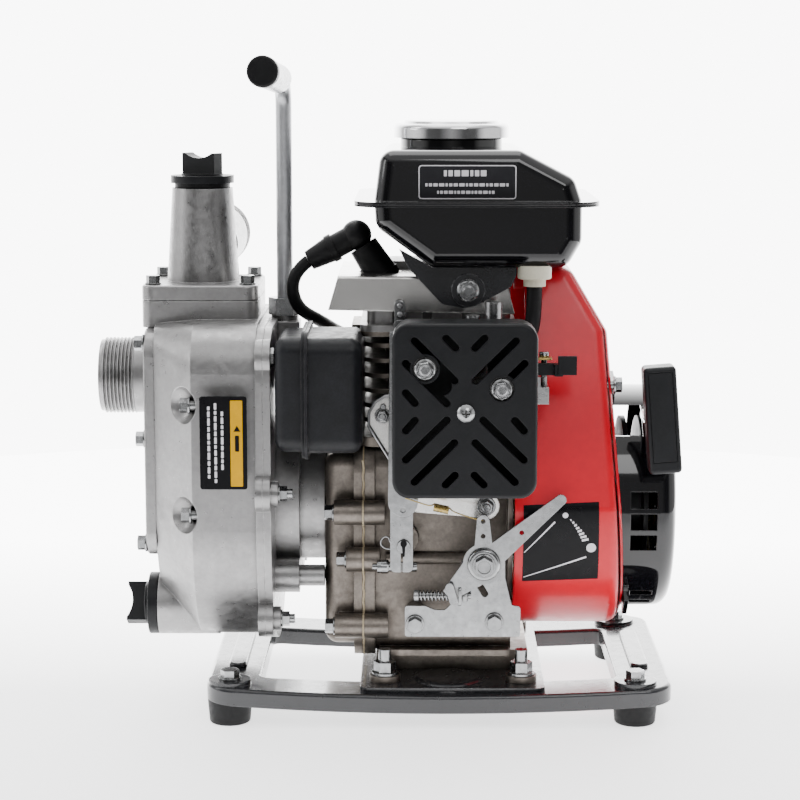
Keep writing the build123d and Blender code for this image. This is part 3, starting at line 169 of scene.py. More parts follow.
def finish(name, colour, rough, metallic=0.0, grain=0.6, depth=0.03, mottle=0.08, mottle_size=18, spread=0.1,
           edge=0.5, wear=None, wear_share=0.6, corner_shade=None, corner_shade_reach=6, pits=0.0, pit_size=1.6,
           stretch=(1, 1, 1), coat=0.0, coat_rough=0.05, specular=0.5):
    """A surface with its grain, mottling, pits, worn edges and painted shade in the corners."""
    g = Graph(name, stretch)
    shade = g.spread(g.noise(mottle_size, 4), 0.3, 0.7, 1 - mottle, 1 + mottle)
    tone = g.mix(1.0, colour, shade, "MULTIPLY")
    speck = g.spread(g.noise(grain * 2.2, 2), 0.35, 0.65, 1 - mottle * 0.6, 1 + mottle * 0.6)
    tone = g.mix(1.0, tone, speck, "MULTIPLY")
    roughness = g.spread(g.noise(mottle_size * 0.35, 4), 0.3, 0.7, max(rough - spread, 0.02), rough + spread)
    normal, rim = g.edges(edge)
    # painted shade: the colour darkens where the ambient occlusion node finds surfaces close by, as in
    # corners where shade falls
    if corner_shade is not None:
        shadow = g.spread(g.hollows(corner_shade_reach), 0.85, 0.25)
        tone = g.mix(g.multiply(shadow, 0.85), tone, corner_shade)
    if wear is not None:
        patchy = g.multiply(rim, g.spread(g.noise(5, 5, 0.7), 0.42, 0.62, 0.0, wear_share))
        tone = g.mix(patchy, tone, wear)
    if pits:
        holes = g.multiply(g.spread(g.cells(pit_size), 0.16, 0.05), g.spread(g.noise(9, 2), 0.5, 0.6))
        tone = g.mix(g.multiply(holes, 0.5), tone, [c * 0.45 for c in colour])
        normal = g.bump(g.spread(g.cells(pit_size), 0.05, 0.2), pits, normal)
    normal = g.bump(g.noise(grain, 3, 0.6), depth, normal)
    shader = g.shader.inputs
    g.links.new(tone, shader["Base Color"])
    g.links.new(roughness, shader["Roughness"])
    g.links.new(normal, shader["Normal"])
    shader["Metallic"].default_value = metallic
    shader["Coat Weight"].default_value = coat
    shader["Coat Roughness"].default_value = coat_rough
    shader["Specular IOR Level"].default_value = specular
    return g.material


# the corner colours given below are painted shade, put into the corners by finish through ambient occlusion
def cast_pump():
    return finish("sand_cast_aluminium", (0.33, 0.325, 0.325), 0.36, 0.9, grain=1.3, depth=0.06, mottle=0.07,
                  mottle_size=14, edge=0.9, pits=0.06, corner_shade=(0.1, 0.098, 0.095), corner_shade_reach=6,
                  wear=(0.62, 0.62, 0.62))


def cast_engine():
    return finish("engine_cast_aluminium", (0.21, 0.185, 0.162), 0.4, 0.9, grain=0.8, depth=0.07, mottle=0.14,
                  mottle_size=12, edge=0.8, corner_shade=(0.045, 0.036, 0.028), corner_shade_reach=9,
                  wear=(0.4, 0.38, 0.35))


def machined():
    return finish("machined_aluminium", (0.46, 0.46, 0.465), 0.28, 1.0, grain=1.4, depth=0.006, mottle=0.08,
                  corner_shade=(0.13, 0.12, 0.11), stretch=(1, 5, 1))


def sheet_bright():
    return finish("bright_sheet_steel", (0.72, 0.71, 0.69), 0.2, 1.0, grain=0.5, depth=0.012, mottle=0.05,
                  mottle_size=30, edge=1.2, spread=0.07, corner_shade=(0.3, 0.29, 0.28), corner_shade_reach=4)


def zinc():
    return finish("zinc_plated_steel", (0.33, 0.335, 0.34), 0.22, 1.0, grain=1.6, depth=0.006, mottle=0.12,
                  mottle_size=8, edge=0.4, spread=0.07, corner_shade=(0.1, 0.097, 0.09), corner_shade_reach=3)


def steel():
    return finish("ground_steel", (0.36, 0.36, 0.37), 0.34, 0.95, grain=1.2, depth=0.006, mottle=0.1,
                  mottle_size=8)


def muffler_black():
    return finish("muffler_paint", (0.009, 0.0095, 0.0115), 0.42, grain=0.5, depth=0.035, mottle=0.2,
                  mottle_size=12, edge=1.2, wear=(0.1, 0.095, 0.095), wear_share=0.4, specular=0.25)


def tank_black():
    return finish("tank_gloss_paint", (0.002, 0.002, 0.003), 0.06, grain=2.6, depth=0.006, mottle=0.1,
                  edge=1.0, spread=0.03, coat=0.3, coat_rough=0.03, specular=0.45)


def frame_black():
    return finish("frame_paint", (0.012, 0.0125, 0.015), 0.22, grain=1.8, depth=0.03, mottle=0.2, edge=1.0,
                  spread=0.08, coat=0.4, coat_rough=0.12, wear=(0.25, 0.25, 0.26), wear_share=0.5)


def shroud_red():
    return finish("shroud_paint", (0.56, 0.0, 0.013), 0.34, grain=2.2, depth=0.016, mottle=0.05,
                  mottle_size=40, edge=1.4, spread=0.06, coat=0.2, coat_rough=0.12, specular=0.3)


def plastic_black():
    return finish("moulded_black_plastic", (0.0075, 0.008, 0.0092), 0.42, grain=0.45, depth=0.02, mottle=0.15,
                  mottle_size=22, edge=0.7, spread=0.07, specular=0.22)


def rubber_black():
    return finish("black_rubber", (0.004, 0.004, 0.0045), 0.5, grain=0.5, depth=0.03, mottle=0.2,
                  mottle_size=8, edge=0.8, specular=0.25)


def cap_chrome():
    return finish("polished_chrome", (0.72, 0.72, 0.73), 0.16, 1.0, grain=0.7, depth=0.004, mottle=0.04,
                  edge=0.8, spread=0.06)


def nylon_cream():
    return finish("cream_nylon", (0.66, 0.63, 0.5), 0.42, grain=0.6, depth=0.015, mottle=0.06)


def gasket():
    return finish("gasket_paper", (0.5, 0.41, 0.27), 0.7, grain=0.5, depth=0.03, mottle=0.15)


def iron():
    return finish("cast_iron", (0.12, 0.115, 0.11), 0.6, 0.6, grain=0.8, depth=0.08, mottle=0.2, pits=0.05)


def spring_brass():
    return finish("yellow_zinc", (0.5, 0.37, 0.13), 0.3, 0.95, grain=1.2, depth=0.005, mottle=0.15,
                  mottle_size=4)


def nylon_yellow():
    return finish("yellow_nylon", (0.5, 0.46, 0.14), 0.45, grain=0.7, depth=0.02, mottle=0.1)


MATERIALS = {make.__name__: make() for make in (
    cast_pump, cast_engine, machined, sheet_bright, zinc, steel, muffler_black, tank_black, frame_black,
    shroud_red, plastic_black, rubber_black, cap_chrome, nylon_cream, gasket, iron, spring_brass,
    nylon_yellow)}


def satin_rod():
    """The handle's rod is duller than the fasteners that share its slot."""
    return finish("satin_rod", (0.6, 0.61, 0.63), 0.42, 1.0, grain=1.6, depth=0.006, mottle=0.06,
                  mottle_size=8, spread=0.05)


OWN_LOOKS = {"handle_rod": satin_rod()}
SHARP_CAD = 32      # degrees; a larger angle between faces is drawn as an edge
SHARP_PIECE = 35
SHARP_WIRE = 60


def dress_nodes():
    """Gives each CAD node its slot's finish, or its own."""
    for row in frame["record"]["subparts"]:
        mesh = frame["nodes"][row["node"]].data
        mesh.materials.clear()
        mesh.materials.append(OWN_LOOKS.get(row["node"], MATERIALS[row["material_slot"]]))
        mesh.set_sharp_from_angle(angle=radians(SHARP_CAD))


dress_nodes()


# ---- mesh tools ------------------------------------------------------------------------
RIGHTWARDS, FORWARDS, UPWARDS = (1, 0, 0), (0, -1, 0), (0, 0, 1)
FRONT = ((1, 0, 0), (0, 0, 1))      # a drawing's own right and up, seen from the front
TOP = ((1, 0, 0), (0, 1, 0))
SIDE = ((0, 1, 0), (0, 0, 1))


def place_piece(name, mesh, body, slot, look=None, sharp=SHARP_PIECE):
    """Makes an object of a mesh in the row frame, with its finish, on its body."""
    piece = bpy.data.objects.new(name, mesh)
    bpy.context.scene.collection.objects.link(piece)
    mesh.materials.clear()
    mesh.materials.append(look or MATERIALS[slot])
    mesh.shade_smooth()
    mesh.set_sharp_from_angle(angle=radians(sharp))
    if body:
        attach(piece, body)
    return piece


def as_mesh(curve, name):
    """The mesh of a curve's bevel or fill."""
    holder = bpy.data.objects.new(name, curve)
    bpy.context.scene.collection.objects.link(holder)
    mesh = bpy.data.meshes.new_from_object(holder)
    bpy.data.objects.remove(holder)
    mesh.name = name
    return mesh


def circle(x, y, r, count=28):
    return [(x + r * cos(2 * pi * i / count), y + r * sin(2 * pi * i / count)) for i in range(count)]


def arc(x, y, r, start, stop, step):
    """Points on a circle from start to stop, in whole degrees."""
    return [(x + r * cos(radians(a)), y + r * sin(radians(a))) for a in range(start, stop + 1, step)]


def rounded(x0, x1, y0, y1, r, count=5):
    """A rectangle with round corners."""
    points = []
    centres = ((x1 - r, y1 - r), (x0 + r, y1 - r), (x0 + r, y0 + r), (x1 - r, y0 + r))
    for (cx, cy), start in zip(centres, (0, 90, 180, 270)):
        for i in range(count + 1):
            a = radians(start + 90 * i / count)
            points.append((cx + r * cos(a), cy + r * sin(a)))
    return points


def bar(x0, y0, x1, y1, r0, r1=None, count=8):
    """A straight bar between two centres with round ends of radius r0 and r1."""
    r1 = r0 if r1 is None else r1
    along = Vector((x1 - x0, y1 - y0))
    turn = -atan(along.x / along.y) if abs(along.y) > abs(along.x) else atan(along.y / along.x) - pi / 2
    if along.dot(Vector((-sin(turn), cos(turn)))) < 0:
        turn += pi
    points = []
    for x, y, r, start in ((x1, y1, r1, turn), (x0, y0, r0, turn + pi)):
        for i in range(count + 1):
            a = start + pi * i / count
            points.append((x + r * cos(a), y + r * sin(a)))
    return points


def flat(name, outlines, place, body, slot, thick=1.5, edge=0.25, way=FRONT, look=None):
    """A plate cut to the outlines, the later ones being holes, with its face at `place`."""
    curve = bpy.data.curves.new(name, "CURVE")
    curve.dimensions = "2D"
    curve.fill_mode = "BOTH"
    curve.extrude = max(thick / 2 - edge, 0) * MM
    curve.bevel_depth = edge * MM
    curve.bevel_resolution = 2
    curve.offset = -edge * MM
    for outline in outlines:
        spline = curve.splines.new("POLY")
        spline.points.add(len(outline) - 1)
        for point, (x, y) in zip(spline.points, outline):
            point.co = (x * MM, y * MM, 0, 1)
        spline.use_cyclic_u = True
    mesh = as_mesh(curve, name)
    right, up = Vector(way[0]), Vector(way[1])
    out = right.cross(up)
    turn = Matrix((right, up, out)).transposed().to_4x4()
    back = -out * thick / 2
    mesh.transform(Matrix.Translation(at(*(Vector(place) + back))) @ turn)
    return place_piece(name, mesh, body, slot, look)


def turned(name, profile, place, out, body, slot, sides=40, look=None, sharp=SHARP_PIECE):
    """A turned piece: (radius, height) pairs from its foot at `place` towards `out`."""
    build = bmesh.new()
    rings = []
    for r, h in profile:
        rings.append([build.verts.new((r * cos(2 * pi * i / sides), r * sin(2 * pi * i / sides), h))
                      for i in range(sides)])
    for low, high in zip(rings, rings[1:]):
        for i in range(sides):
            j = (i + 1) % sides
            build.faces.new((low[i], low[j], high[j], high[i]))
    build.faces.new(list(reversed(rings[0])))
    build.faces.new(rings[-1])
    return from_build(name, build, place, out, body, slot, look, sharp)


def from_build(name, build, place, out, body, slot, look=None, sharp=SHARP_PIECE):
    """Moves a bmesh drawn in mm about +Z to `place`, facing `out`, and makes it a piece."""
    bmesh.ops.recalc_face_normals(build, faces=build.faces)
    mesh = bpy.data.meshes.new(name)
    build.to_mesh(mesh)
    build.free()
    turn = Vector(out).to_track_quat("Z", "Y").to_matrix().to_4x4()
    mesh.transform(Matrix.Translation(at(*place)) @ turn @ Matrix.Scale(MM, 4))
    return place_piece(name, mesh, body, slot, look, sharp)


def hex_head(name, place, out, flats, tall, body="machine", slot="zinc", washer=0.0, turn=12.0, stud=0.0):
    """A hexagon head or nut with chamfered corners, on a washer, with a stud's end in it."""
    build = bmesh.new()
    corner = flats / sqrt(3)
    foot, chamfer = 0.3, 0.9
    layers = ((0.96, washer), (1.0, washer + foot), (1.0, washer + tall - chamfer), (0.86, washer + tall))
    rings = []
    for share, h in layers:
        ring = [(corner * share * cos(radians(turn + 60 * i)), corner * share * sin(radians(turn + 60 * i)))
                for i in range(6)]
        rings.append([build.verts.new((x, y, h)) for x, y in ring])
    for low, high in zip(rings, rings[1:]):
        for i in range(6):
            build.faces.new((low[i], low[(i + 1) % 6], high[(i + 1) % 6], high[i]))
    build.faces.new(rings[-1])
    build.faces.new(list(reversed(rings[0])))
    if washer:
        add_ring(build, flats * 0.72, 0, washer)
    if stud:
        add_ring(build, flats * 0.3, washer, washer + tall + stud)
    return from_build(name, build, place, out, body, slot, sharp=25)


def add_ring(build, r, low, high, sides=32):
    """Adds a closed disc with a small chamfer to a bmesh."""
    chamfer = min(0.3, (high - low) / 3)
    rings = []
    for radius, h in ((r, low), (r, high - chamfer), (r - chamfer, high)):
        rings.append([build.verts.new((radius * cos(2 * pi * i / sides), radius * sin(2 * pi * i / sides), h))
                      for i in range(sides)])
    for a, b in zip(rings, rings[1:]):
        for i in range(sides):
            build.faces.new((a[i], a[(i + 1) % sides], b[(i + 1) % sides], b[i]))
    build.faces.new(list(reversed(rings[0])))
    build.faces.new(rings[-1])


def nurbs(name, points, r, cyclic=False, fine=8):
    """A smooth line through the pull of its points, r mm thick, in the row frame."""
    curve = bpy.data.curves.new(name, "CURVE")
    curve.dimensions = "3D"
    curve.bevel_depth = r * MM
    curve.bevel_resolution = 5
    curve.use_fill_caps = True
    spline = curve.splines.new("NURBS")
    spline.points.add(len(points) - 1)
    for point, place in zip(spline.points, points):
        point.co = (*at(*place), 1)
    spline.order_u = 3
    spline.use_endpoint_u = not cyclic
    spline.use_cyclic_u = cyclic
    spline.resolution_u = fine
    return curve


def wire(name, points, r, body, slot, look=None):
    return place_piece(name, as_mesh(nurbs(name, points, r), name), body, slot, look, sharp=SHARP_WIRE)


def helix(start, end, radius, turns, per_turn=10):
    """Points of a coil from start to end."""
    a, b = Vector(start), Vector(end)
    axis = (b - a).normalized()
    side = axis.orthogonal().normalized()
    other = axis.cross(side)
    count = int(turns * per_turn)
    points = []
    for i in range(count + 1):
        t = 2 * pi * turns * i / count
        points.append(tuple(a + (b - a) * (i / count) + side * (radius * cos(t)) + other * (radius * sin(t))))
    return points


# ---- labels ----------------------------------------------------------------------------


def label_black():
    return finish("label_black", (0.002, 0.002, 0.003), 0.34, grain=1.5, depth=0.003, mottle=0.08, edge=0.1,
                  specular=0.15)


def label_yellow():
    return finish("label_yellow", (0.62, 0.33, 0.0), 0.6, grain=1.5, depth=0.003, mottle=0.05, edge=0.1,
                  specular=0.1)


def label_white():
    return finish("label_white", (0.72, 0.7, 0.74), 0.45, grain=1.5, depth=0.003, mottle=0.05, edge=0.1)


def label_panel():
    return finish("label_panel", (0.015, 0.015, 0.018), 0.4, grain=1.5, depth=0.003, mottle=0.08, edge=0.1,
                  specular=0.25)


INKS = {make.__name__: make() for make in (label_black, label_yellow, label_white, label_panel)}


def casing_label():
    """A black plate with a yellow band and rows of strokes in place of words."""
    x0, x1, z0, z1 = -129.5, -101.5, 147.6, 203.4
    y = extent("pump_casing")[0].y - 0.02
    ink = y - 0.16
    flat("casing_label", [rounded(x0, x1, z0, z1, 1.6)], (0, y, 0), "machine", "plastic_black", 0.16, 0.04,
         look=INKS["label_black"])
    band = rounded(x1 - 9.8, x1 - 2.6, z0 + 1.8, z1 - 2.4, 0.5)
    flat("casing_label_band", [band], (0, ink, 0), "machine", "plastic_black", 0.1, 0.02,
         look=INKS["label_yellow"])
    strokes = []
    for row, (x, top, bottom) in enumerate(((x0 + 4.6, 6, 5), (x0 + 8.6, 4, 2.5), (x0 + 12.6, 9, 8))):
        z = z1 - top
        step = 0
        while z > z0 + bottom + 3:
            tall = 2.2 + ((step * 7 + row * 3) % 5) * 0.55
            strokes.append(rounded(x, x + 1.5, z - tall, z, 0.3, 2))
            z -= tall + 0.8
            step += 1
    flat("casing_label_rows", strokes, (0, ink, 0), "machine", "plastic_black", 0.08, 0.02,
         look=INKS["label_white"])
    mark = x1 - 5.9
    arrow = [(mark - 2, z1 - 21), (mark + 2, z1 - 21), (mark, z1 - 17.4)]
    stem = rounded(mark - 1.2, mark + 1.2, z1 - 33, z1 - 23.4, 0.5, 2)
    flat("casing_label_mark", [arrow, stem], (0, ink - 0.1, 0), "machine", "plastic_black", 0.06, 0.015,
         look=INKS["label_black"])


def tank_label():
    """A framed panel with three rows of strokes in place of words."""
    y = -68.02
    ink = y - 0.12
    x0, x1, z0, z1 = -0.3, 57.6, 317.9, 338.0
    flat("tank_label", [rounded(x0, x1, z0, z1, 1.8)], (0, y, 0), "machine", "plastic_black", 0.12, 0.03,
         look=INKS["label_panel"])
    rim = [rounded(x0, x1, z0, z1, 1.8), rounded(x0 + 0.6, x1 - 0.6, z0 + 0.6, z1 - 0.6, 1.4)]
    flat("tank_label_frame", rim, (0, ink, 0), "machine", "plastic_black", 0.08, 0.02,
         look=INKS["label_white"])
    strokes = []
    middle = (x0 + x1) / 2
    rows = ((z1 - 6.6, 14, 3.6, 2.6), (z1 - 12.6, 25, 1.9, 2.0), (z1 - 17, 18, 1.9, 1.7))
    for z, half, tall, wide in rows:
        x = middle - half
        step = 0
        while x < middle + half - wide:
            long = wide * (0.7 + 0.3 * ((step * 5) % 4))
            strokes.append(rounded(x, x + long, z, z + tall, 0.25, 2))
            x += long + wide * 0.35
            step += 1
    flat("tank_label_rows", strokes, (0, ink, 0), "machine", "plastic_black", 0.08, 0.02,
         look=INKS["label_white"])


SHROUD_LOW = extent("fan_shroud")[0]
SHROUD_MID = SHROUD_LOW.z + 88.0    # the middle of its round lower part
SHROUD_HALF = -SHROUD_LOW.y         # half its depth there
SHROUD_TOP = 276.0
SHROUD_TOP_HALF = 40.0              # half its depth at the top


def on_shroud(x, z, lift):
    """The place on the shroud's front at x and z, `lift` mm off its face."""
    rise, taper = SHROUD_TOP - SHROUD_MID, SHROUD_HALF - SHROUD_TOP_HALF
    if z < SHROUD_MID:
        y = sqrt(SHROUD_HALF ** 2 - (SHROUD_MID - z) ** 2)
        out = Vector((0, -y, z - SHROUD_MID)).normalized()
    else:
        y = SHROUD_HALF - (z - SHROUD_MID) * taper / rise
        out = Vector((0, -rise, taper)).normalized()
    return at(*(Vector((x, -y, z)) + out * lift))


def shroud_patch(name, left, right, lift, look, steps=24):
    """A thin skin between two lines, each a function of 0..1 giving (x, z), on the shroud's face."""
    thick = 0.1
    build = bmesh.new()
    rows = []
    for i in range(steps + 1):
        t = i / steps
        row = []
        for line in (left, right):
            x, z = line(t)
            row += [build.verts.new(on_shroud(x, z, lift)), build.verts.new(on_shroud(x, z, lift - thick))]
        rows.append(row)
    for a, b in zip(rows, rows[1:]):
        build.faces.new((a[0], a[2], b[2], b[0]))
        build.faces.new((a[3], a[1], b[1], b[3]))
        build.faces.new((a[1], a[0], b[0], b[1]))
        build.faces.new((a[2], a[3], b[3], b[2]))
    build.faces.new((rows[0][0], rows[0][1], rows[0][3], rows[0][2]))
    build.faces.new((rows[-1][0], rows[-1][2], rows[-1][3], rows[-1][1]))
    bmesh.ops.recalc_face_normals(build, faces=build.faces)
    mesh = bpy.data.meshes.new(name)
    build.to_mesh(mesh)
    build.free()
    return place_piece(name, mesh, "machine", "plastic_black", look)


def throttle_decal():
    """A black panel with two rays, an arc of growing bars and a small and a large dot."""
    x0, x1, z0, z1 = 62.6, 108.3, 87.7, 137.0
    panel_lift, ink_lift = 0.14, 0.2
    white = INKS["label_white"]
    pivot = Vector(JOINTS["throttle_turn"]["pos_m"]) / MM - ORIGIN
    shroud_patch("throttle_decal", lambda t: (x0 + 0.02 * (1 - t), z0 + (z1 - z0) * t),
                 lambda t: (x1 - 0.8 * t, z0 + 2 + (z1 - z0) * t), panel_lift, INKS["label_black"], 40)

    def ray(name, ax, az, bx, bz):
        """A line from a to b that widens on its way."""
        across = Vector((az - bz, bx - ax)).normalized() * 0.55

        def side(sign):
            return lambda t: (ax + (bx - ax) * t + sign * across.x * (0.4 + 0.6 * t),
                              az + (bz - az) * t + sign * across.y * (0.4 + 0.6 * t))
        shroud_patch(name, side(1), side(-1), ink_lift, white)

    def arc_bar(name, angle, reach, half, width):
        """A bar `width` degrees wide across the arc of radius `reach` about the lever's pivot."""
        def line(radius):
            return lambda t: (pivot.x + radius * cos(radians(angle + width * (t - 0.5))),
                              pivot.z + radius * sin(radians(angle + width * (t - 0.5))))
        shroud_patch(name, line(reach - half), line(reach + half), ink_lift, white, 4)

    def dot(name, angle, reach, r):
        cx, cz = pivot.x + reach * cos(radians(angle)), pivot.z + reach * sin(radians(angle))

        def side(sign):
            return lambda t: (cx + sign * r * sqrt(max(1 - (2 * t - 1) ** 2, 0.002)), cz + r * (2 * t - 1))
        shroud_patch(name, side(-1), side(1), ink_lift, white, 16)

    ray("throttle_decal_slow", x0 + 0.7, z0 + 19.8, x0 + 18.8, z0 + 39.4)
    ray("throttle_decal_fast", x0 + 0.7, z0 + 3, x0 + 38, z0 + 17)
    for i in range(8):
        arc_bar(f"throttle_decal_bar_{i}", 26.5 - 2.0 * i, 58.0 + 0.6 * i, 0.35 + 0.24 * i, 1.25)
    dot("throttle_decal_low", 30.6, 56.5, 1.7)
    dot("throttle_decal_high", 7.4, 65, 2.9)


casing_label()
tank_label()
throttle_decal()


# ---- cords -----------------------------------------------------------------------------
LEAD_ROUTE = [(-68, -20, 277), (-79, -20, 269), (-77, -17, 248), (-60, -4, 237), (-52, 24, 228),
              (-46, 56, 221), (-8, 62, 215), (32, 60, 210), (64, 50, 206)]
HOSE_ROUTE = [(69.4, -57.5, 268.2), (69.4, -58.5, 246), (66, -64, 235), (56, -67, 230)]


def cord_piece(name, route, r, node):
    """A smooth cable or hose along its route, in place of its CAD node."""
    curve = nurbs(name, route, r, fine=24)
    curve.materials.append(MATERIALS["rubber_black"])
    cable = bpy.data.objects.new(name, curve)
    bpy.context.scene.collection.objects.link(cable)
    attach(cable, "machine")
    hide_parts(node)
    return cable


lead = cord_piece("ignition_cable", LEAD_ROUTE, 4.0, "ht_lead")
# the hose is only 5 diameters long, too short to be a cord
cord_piece("fuel_line", HOSE_ROUTE, 4.7, "fuel_hose")


def rope():
    return finish("rope", (0.05, 0.05, 0.055), 0.8, grain=0.5, depth=0.05, mottle=0.25, mottle_size=3)


def starter_rope():
    """The rope from the housing's guide to the grip."""
    grip_back = extent("starter_grip")[1].y
    guide = extent("recoil_housing")[0].y
    x, z = 144.0, 184.0
    rope_r, strand, lay = 2.1, 0.28, 14
    start, end = Vector((x, guide + 14, z)), Vector((x, grip_back - 3, z))
    build = bmesh.new()
    steps, sides, rings = 90, 24, []
    for i in range(steps + 1):
        t = i / steps
        y = start.y + (end.y - start.y) * t
        ring = []
        for k in range(sides):
            a = 2 * pi * k / sides
            r = rope_r + strand * abs(sin(1.5 * a + lay * t))
            ring.append(build.verts.new(at(x + r * cos(a), y, z + r * sin(a))))
        rings.append(ring)
    for a, b in zip(rings, rings[1:]):
        for k in range(sides):
            build.faces.new((a[k], a[(k + 1) % sides], b[(k + 1) % sides], b[k]))
    build.faces.new(rings[0])
    build.faces.new(list(reversed(rings[-1])))
    bmesh.ops.recalc_face_normals(build, faces=build.faces)
    mesh = bpy.data.meshes.new("starter_rope")
    build.to_mesh(mesh)
    build.free()
    piece = place_piece("starter_rope", mesh, None, "nylon_cream", rope(), sharp=SHARP_WIRE)
    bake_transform(piece)


starter_rope()


# ---- controls --------------------------------------------------------------------------


def support_arm():
    """The bright arm that holds the air cleaner, behind the governor lever."""
    x, y, z, r = 41.0, -65, 132.0, 8.4
    plate = [(-10, 128.6), (26, 125.6), *arc(x, z, r, -100, 90, 15), (-10, 143)]
    flat("cleaner_support_arm", [plate], (0, y, 0), "machine", "sheet_bright", 2.2, 0.35)
    turned("cleaner_support_post", [(5, 0), (5, 12.6)], (x, y + 15, z), FORWARDS, "machine", "zinc")
    hex_head("cleaner_support_bolt", (x, y, z), FORWARDS, 8, 4.2, washer=1.2, turn=20, stud=1.5)


def side_bracket():
    """The triangular bracket behind the governor lever, on a post from the cylinder, with its bolt."""
    y = -72.0
    thick = 1.6
    bolt_x, bolt_z = -21.8, 188.6
    edge = [(bolt_x - 8.2, 182.5), (bolt_x - 8.2, 190.5), (bolt_x - 4.5, 197), (bolt_x + 0.6, 200.2),
            (bolt_x + 6, 201.4), (-6, 201.4), (-6, 152), (bolt_x + 5.6, 160)]
    flat("cleaner_side_bracket", [edge], (0, y, 0), "machine", "sheet_bright", thick, 0.3)
    front = extent("cylinder_barrel")[0].y
    post = front - y - thick
    profile = [(3.4, 0), (3.4, post)]
    turned("cleaner_side_post", profile, (bolt_x, front, bolt_z), FORWARDS, "machine", "zinc")
    # the rim runs round the left side; each point counts twice, so that its corners stay sharp
    rim = [edge[5], *reversed(edge[:5]), edge[7]]
    doubled = [(px, y - thick, pz) for px, pz in rim for _ in range(2)]
    wire("cleaner_side_rim", doubled, 0.9, "machine", "steel")
    hex_head("cleaner_side_bolt", (bolt_x, y, bolt_z), FORWARDS, 6.6, 4, washer=0.8, turn=5, stud=0.4)
    hex_head("cleaner_side_nut", (bolt_x + 0.4, y, bolt_z + 5.4), FORWARDS, 3.4, 1.6, turn=15)


def governor_details():
    """The clevis plate, clamp nut and spring clip of the governor lever, with a black keyhole-shaped sheet as
    painted shade where its opening would be.
    """
    x = -9.4
    face = -81.0
    strap = [*arc(x, 137, 9, 180, 360, 20), (x + 8, 240), (x - 8, 240)]
    holes = [circle(x, z, r, 16) for z, r in ((132.4, 1.5), (146, 1.3), (160, 1.3))]
    flat("governor_strap", [strap, *holes], (0, face + 1.3, 0), "governor", "zinc", 1.4, 0.25)
    # painted shade: a thin black sheet in a keyhole's shape stands for the dark opening
    key = [(x + 0.4 + 2.0 * cos(radians(a)), 112 + 2.3 * sin(radians(a))) for a in range(-60, 241, 20)]
    key += [(x - 0.2, 104), (x + 1.0, 104)]
    flat("governor_keyhole_shade", [key], (0, face - 0.05, 0), "governor", "plastic_black", 0.12, 0.03,
         look=INKS["label_black"])
    clamp_y, clamp_z = -75, 96.6
    hex_head("governor_clamp_nut", (-22.6, clamp_y, clamp_z), RIGHTWARDS, 7.6, 4.6, body="governor", turn=30)
    screw = [(1.9, 0), (2.1, 0.6), (2.1, 9)]
    turned("governor_clamp_screw", screw, (-28, clamp_y, clamp_z), RIGHTWARDS, "governor", "zinc")
    loop = [(-13, 108.4), (-17, 107), (-21.6, 108.4), (-23.4, 111.8), (-21, 115.4), (-17.6, 114.6),
            (-17.6, 111.6), (-14, 109.8)]
    wire("governor_clip", [(px, clamp_y, pz) for px, pz in loop], 0.55, "governor", "zinc")


def governor_spring():
    """Brass coil with a wire at each end, from the governor lever to the throttle lever."""
    y = -86.0
    a, b = (9.0, y, 135.6), (17.9, y, 133.6)
    lever_hole = (38.3, -91.6, 128.8)
    points = [(-8, -82, 140.2), (-2, -83.5, 138.6), (7.0, y, 136), *helix(a, b, 2.3, 11), (20, y, 133),
              (28, -88, 130.6), (34, -90, 129.2), lever_hole]
    mesh = as_mesh(nurbs("governor_spring_coil", points, 0.38, fine=3), "governor_spring_coil")
    spring = place_piece("governor_spring_coil", mesh, None, "spring_brass", sharp=SHARP_WIRE)
    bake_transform(spring)
    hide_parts("governor_spring")


def idle_screw():
    """The throttle stop: a sprung screw through the bracket's tab."""
    y, z = -88.4, 82.0
    turned("idle_screw", [(1.7, 0), (1.9, 0.5), (1.9, 31.5)], (0, y, z), RIGHTWARDS, "machine", "zinc")
    head = [(2.6, 0), (3.3, 0.5), (3.3, 2.8), (2.8, 3.2)]
    turned("idle_screw_head", head, (-3, y, z), RIGHTWARDS, "machine", "steel")
    mesh = as_mesh(nurbs("idle_spring", helix((0.6, y, z), (18, y, z), 3.0, 8), 0.5, fine=3), "idle_spring")
    place_piece("idle_spring", mesh, "machine", "zinc", sharp=SHARP_WIRE)
    hex_head("idle_nut", (26.2, y, z), RIGHTWARDS, 6.6, 3.4, turn=0)
    tab = [rounded(-94, -82, z - 5.2, z + 6.2, 1.8), circle(y, z, 1.9, 16)]
    flat("idle_tab", tab, (25.6, 0, 0), "machine", "zinc", 2.0, 0.3, way=SIDE)


def flange_nut(name, x, z, face, r, flats, stud):
    """A nut with a round flange, over a CAD bolt's head."""
    profile = [(r, 0), (r, 0.7), (r * 0.86, 1.5), (r * 0.62, 2.2), (r * 0.6, 2.3)]
    turned(f"{name}_flange", profile, (x, face, z), FORWARDS, "machine", "zinc")
    hex_head(name, (x, face - 2.0, z), FORWARDS, flats, 3.8, turn=8, stud=stud)
    ring = [(flats * 0.37, 0), (flats * 0.37, 0.5), (flats * 0.33, 0.8)]
    turned(f"{name}_ring", ring, (x, face - 5.6, z), FORWARDS, "machine", "steel")


def cover_nuts():
    """The air cleaner's two nuts and the tank bracket's."""
    front = extent("air_cleaner_cover")[0].y
    for i, (x, z) in enumerate(((3.5, 224.3), (47.6, 212.8))):
        flange_nut(f"cleaner_nut_{i}", x, z, front + 1.2, 6.1, 9.0, 1.0)
    flange_nut("tank_bolt", 29.6, 262.6, -57.8, 6.6, 9.6, 0.8)


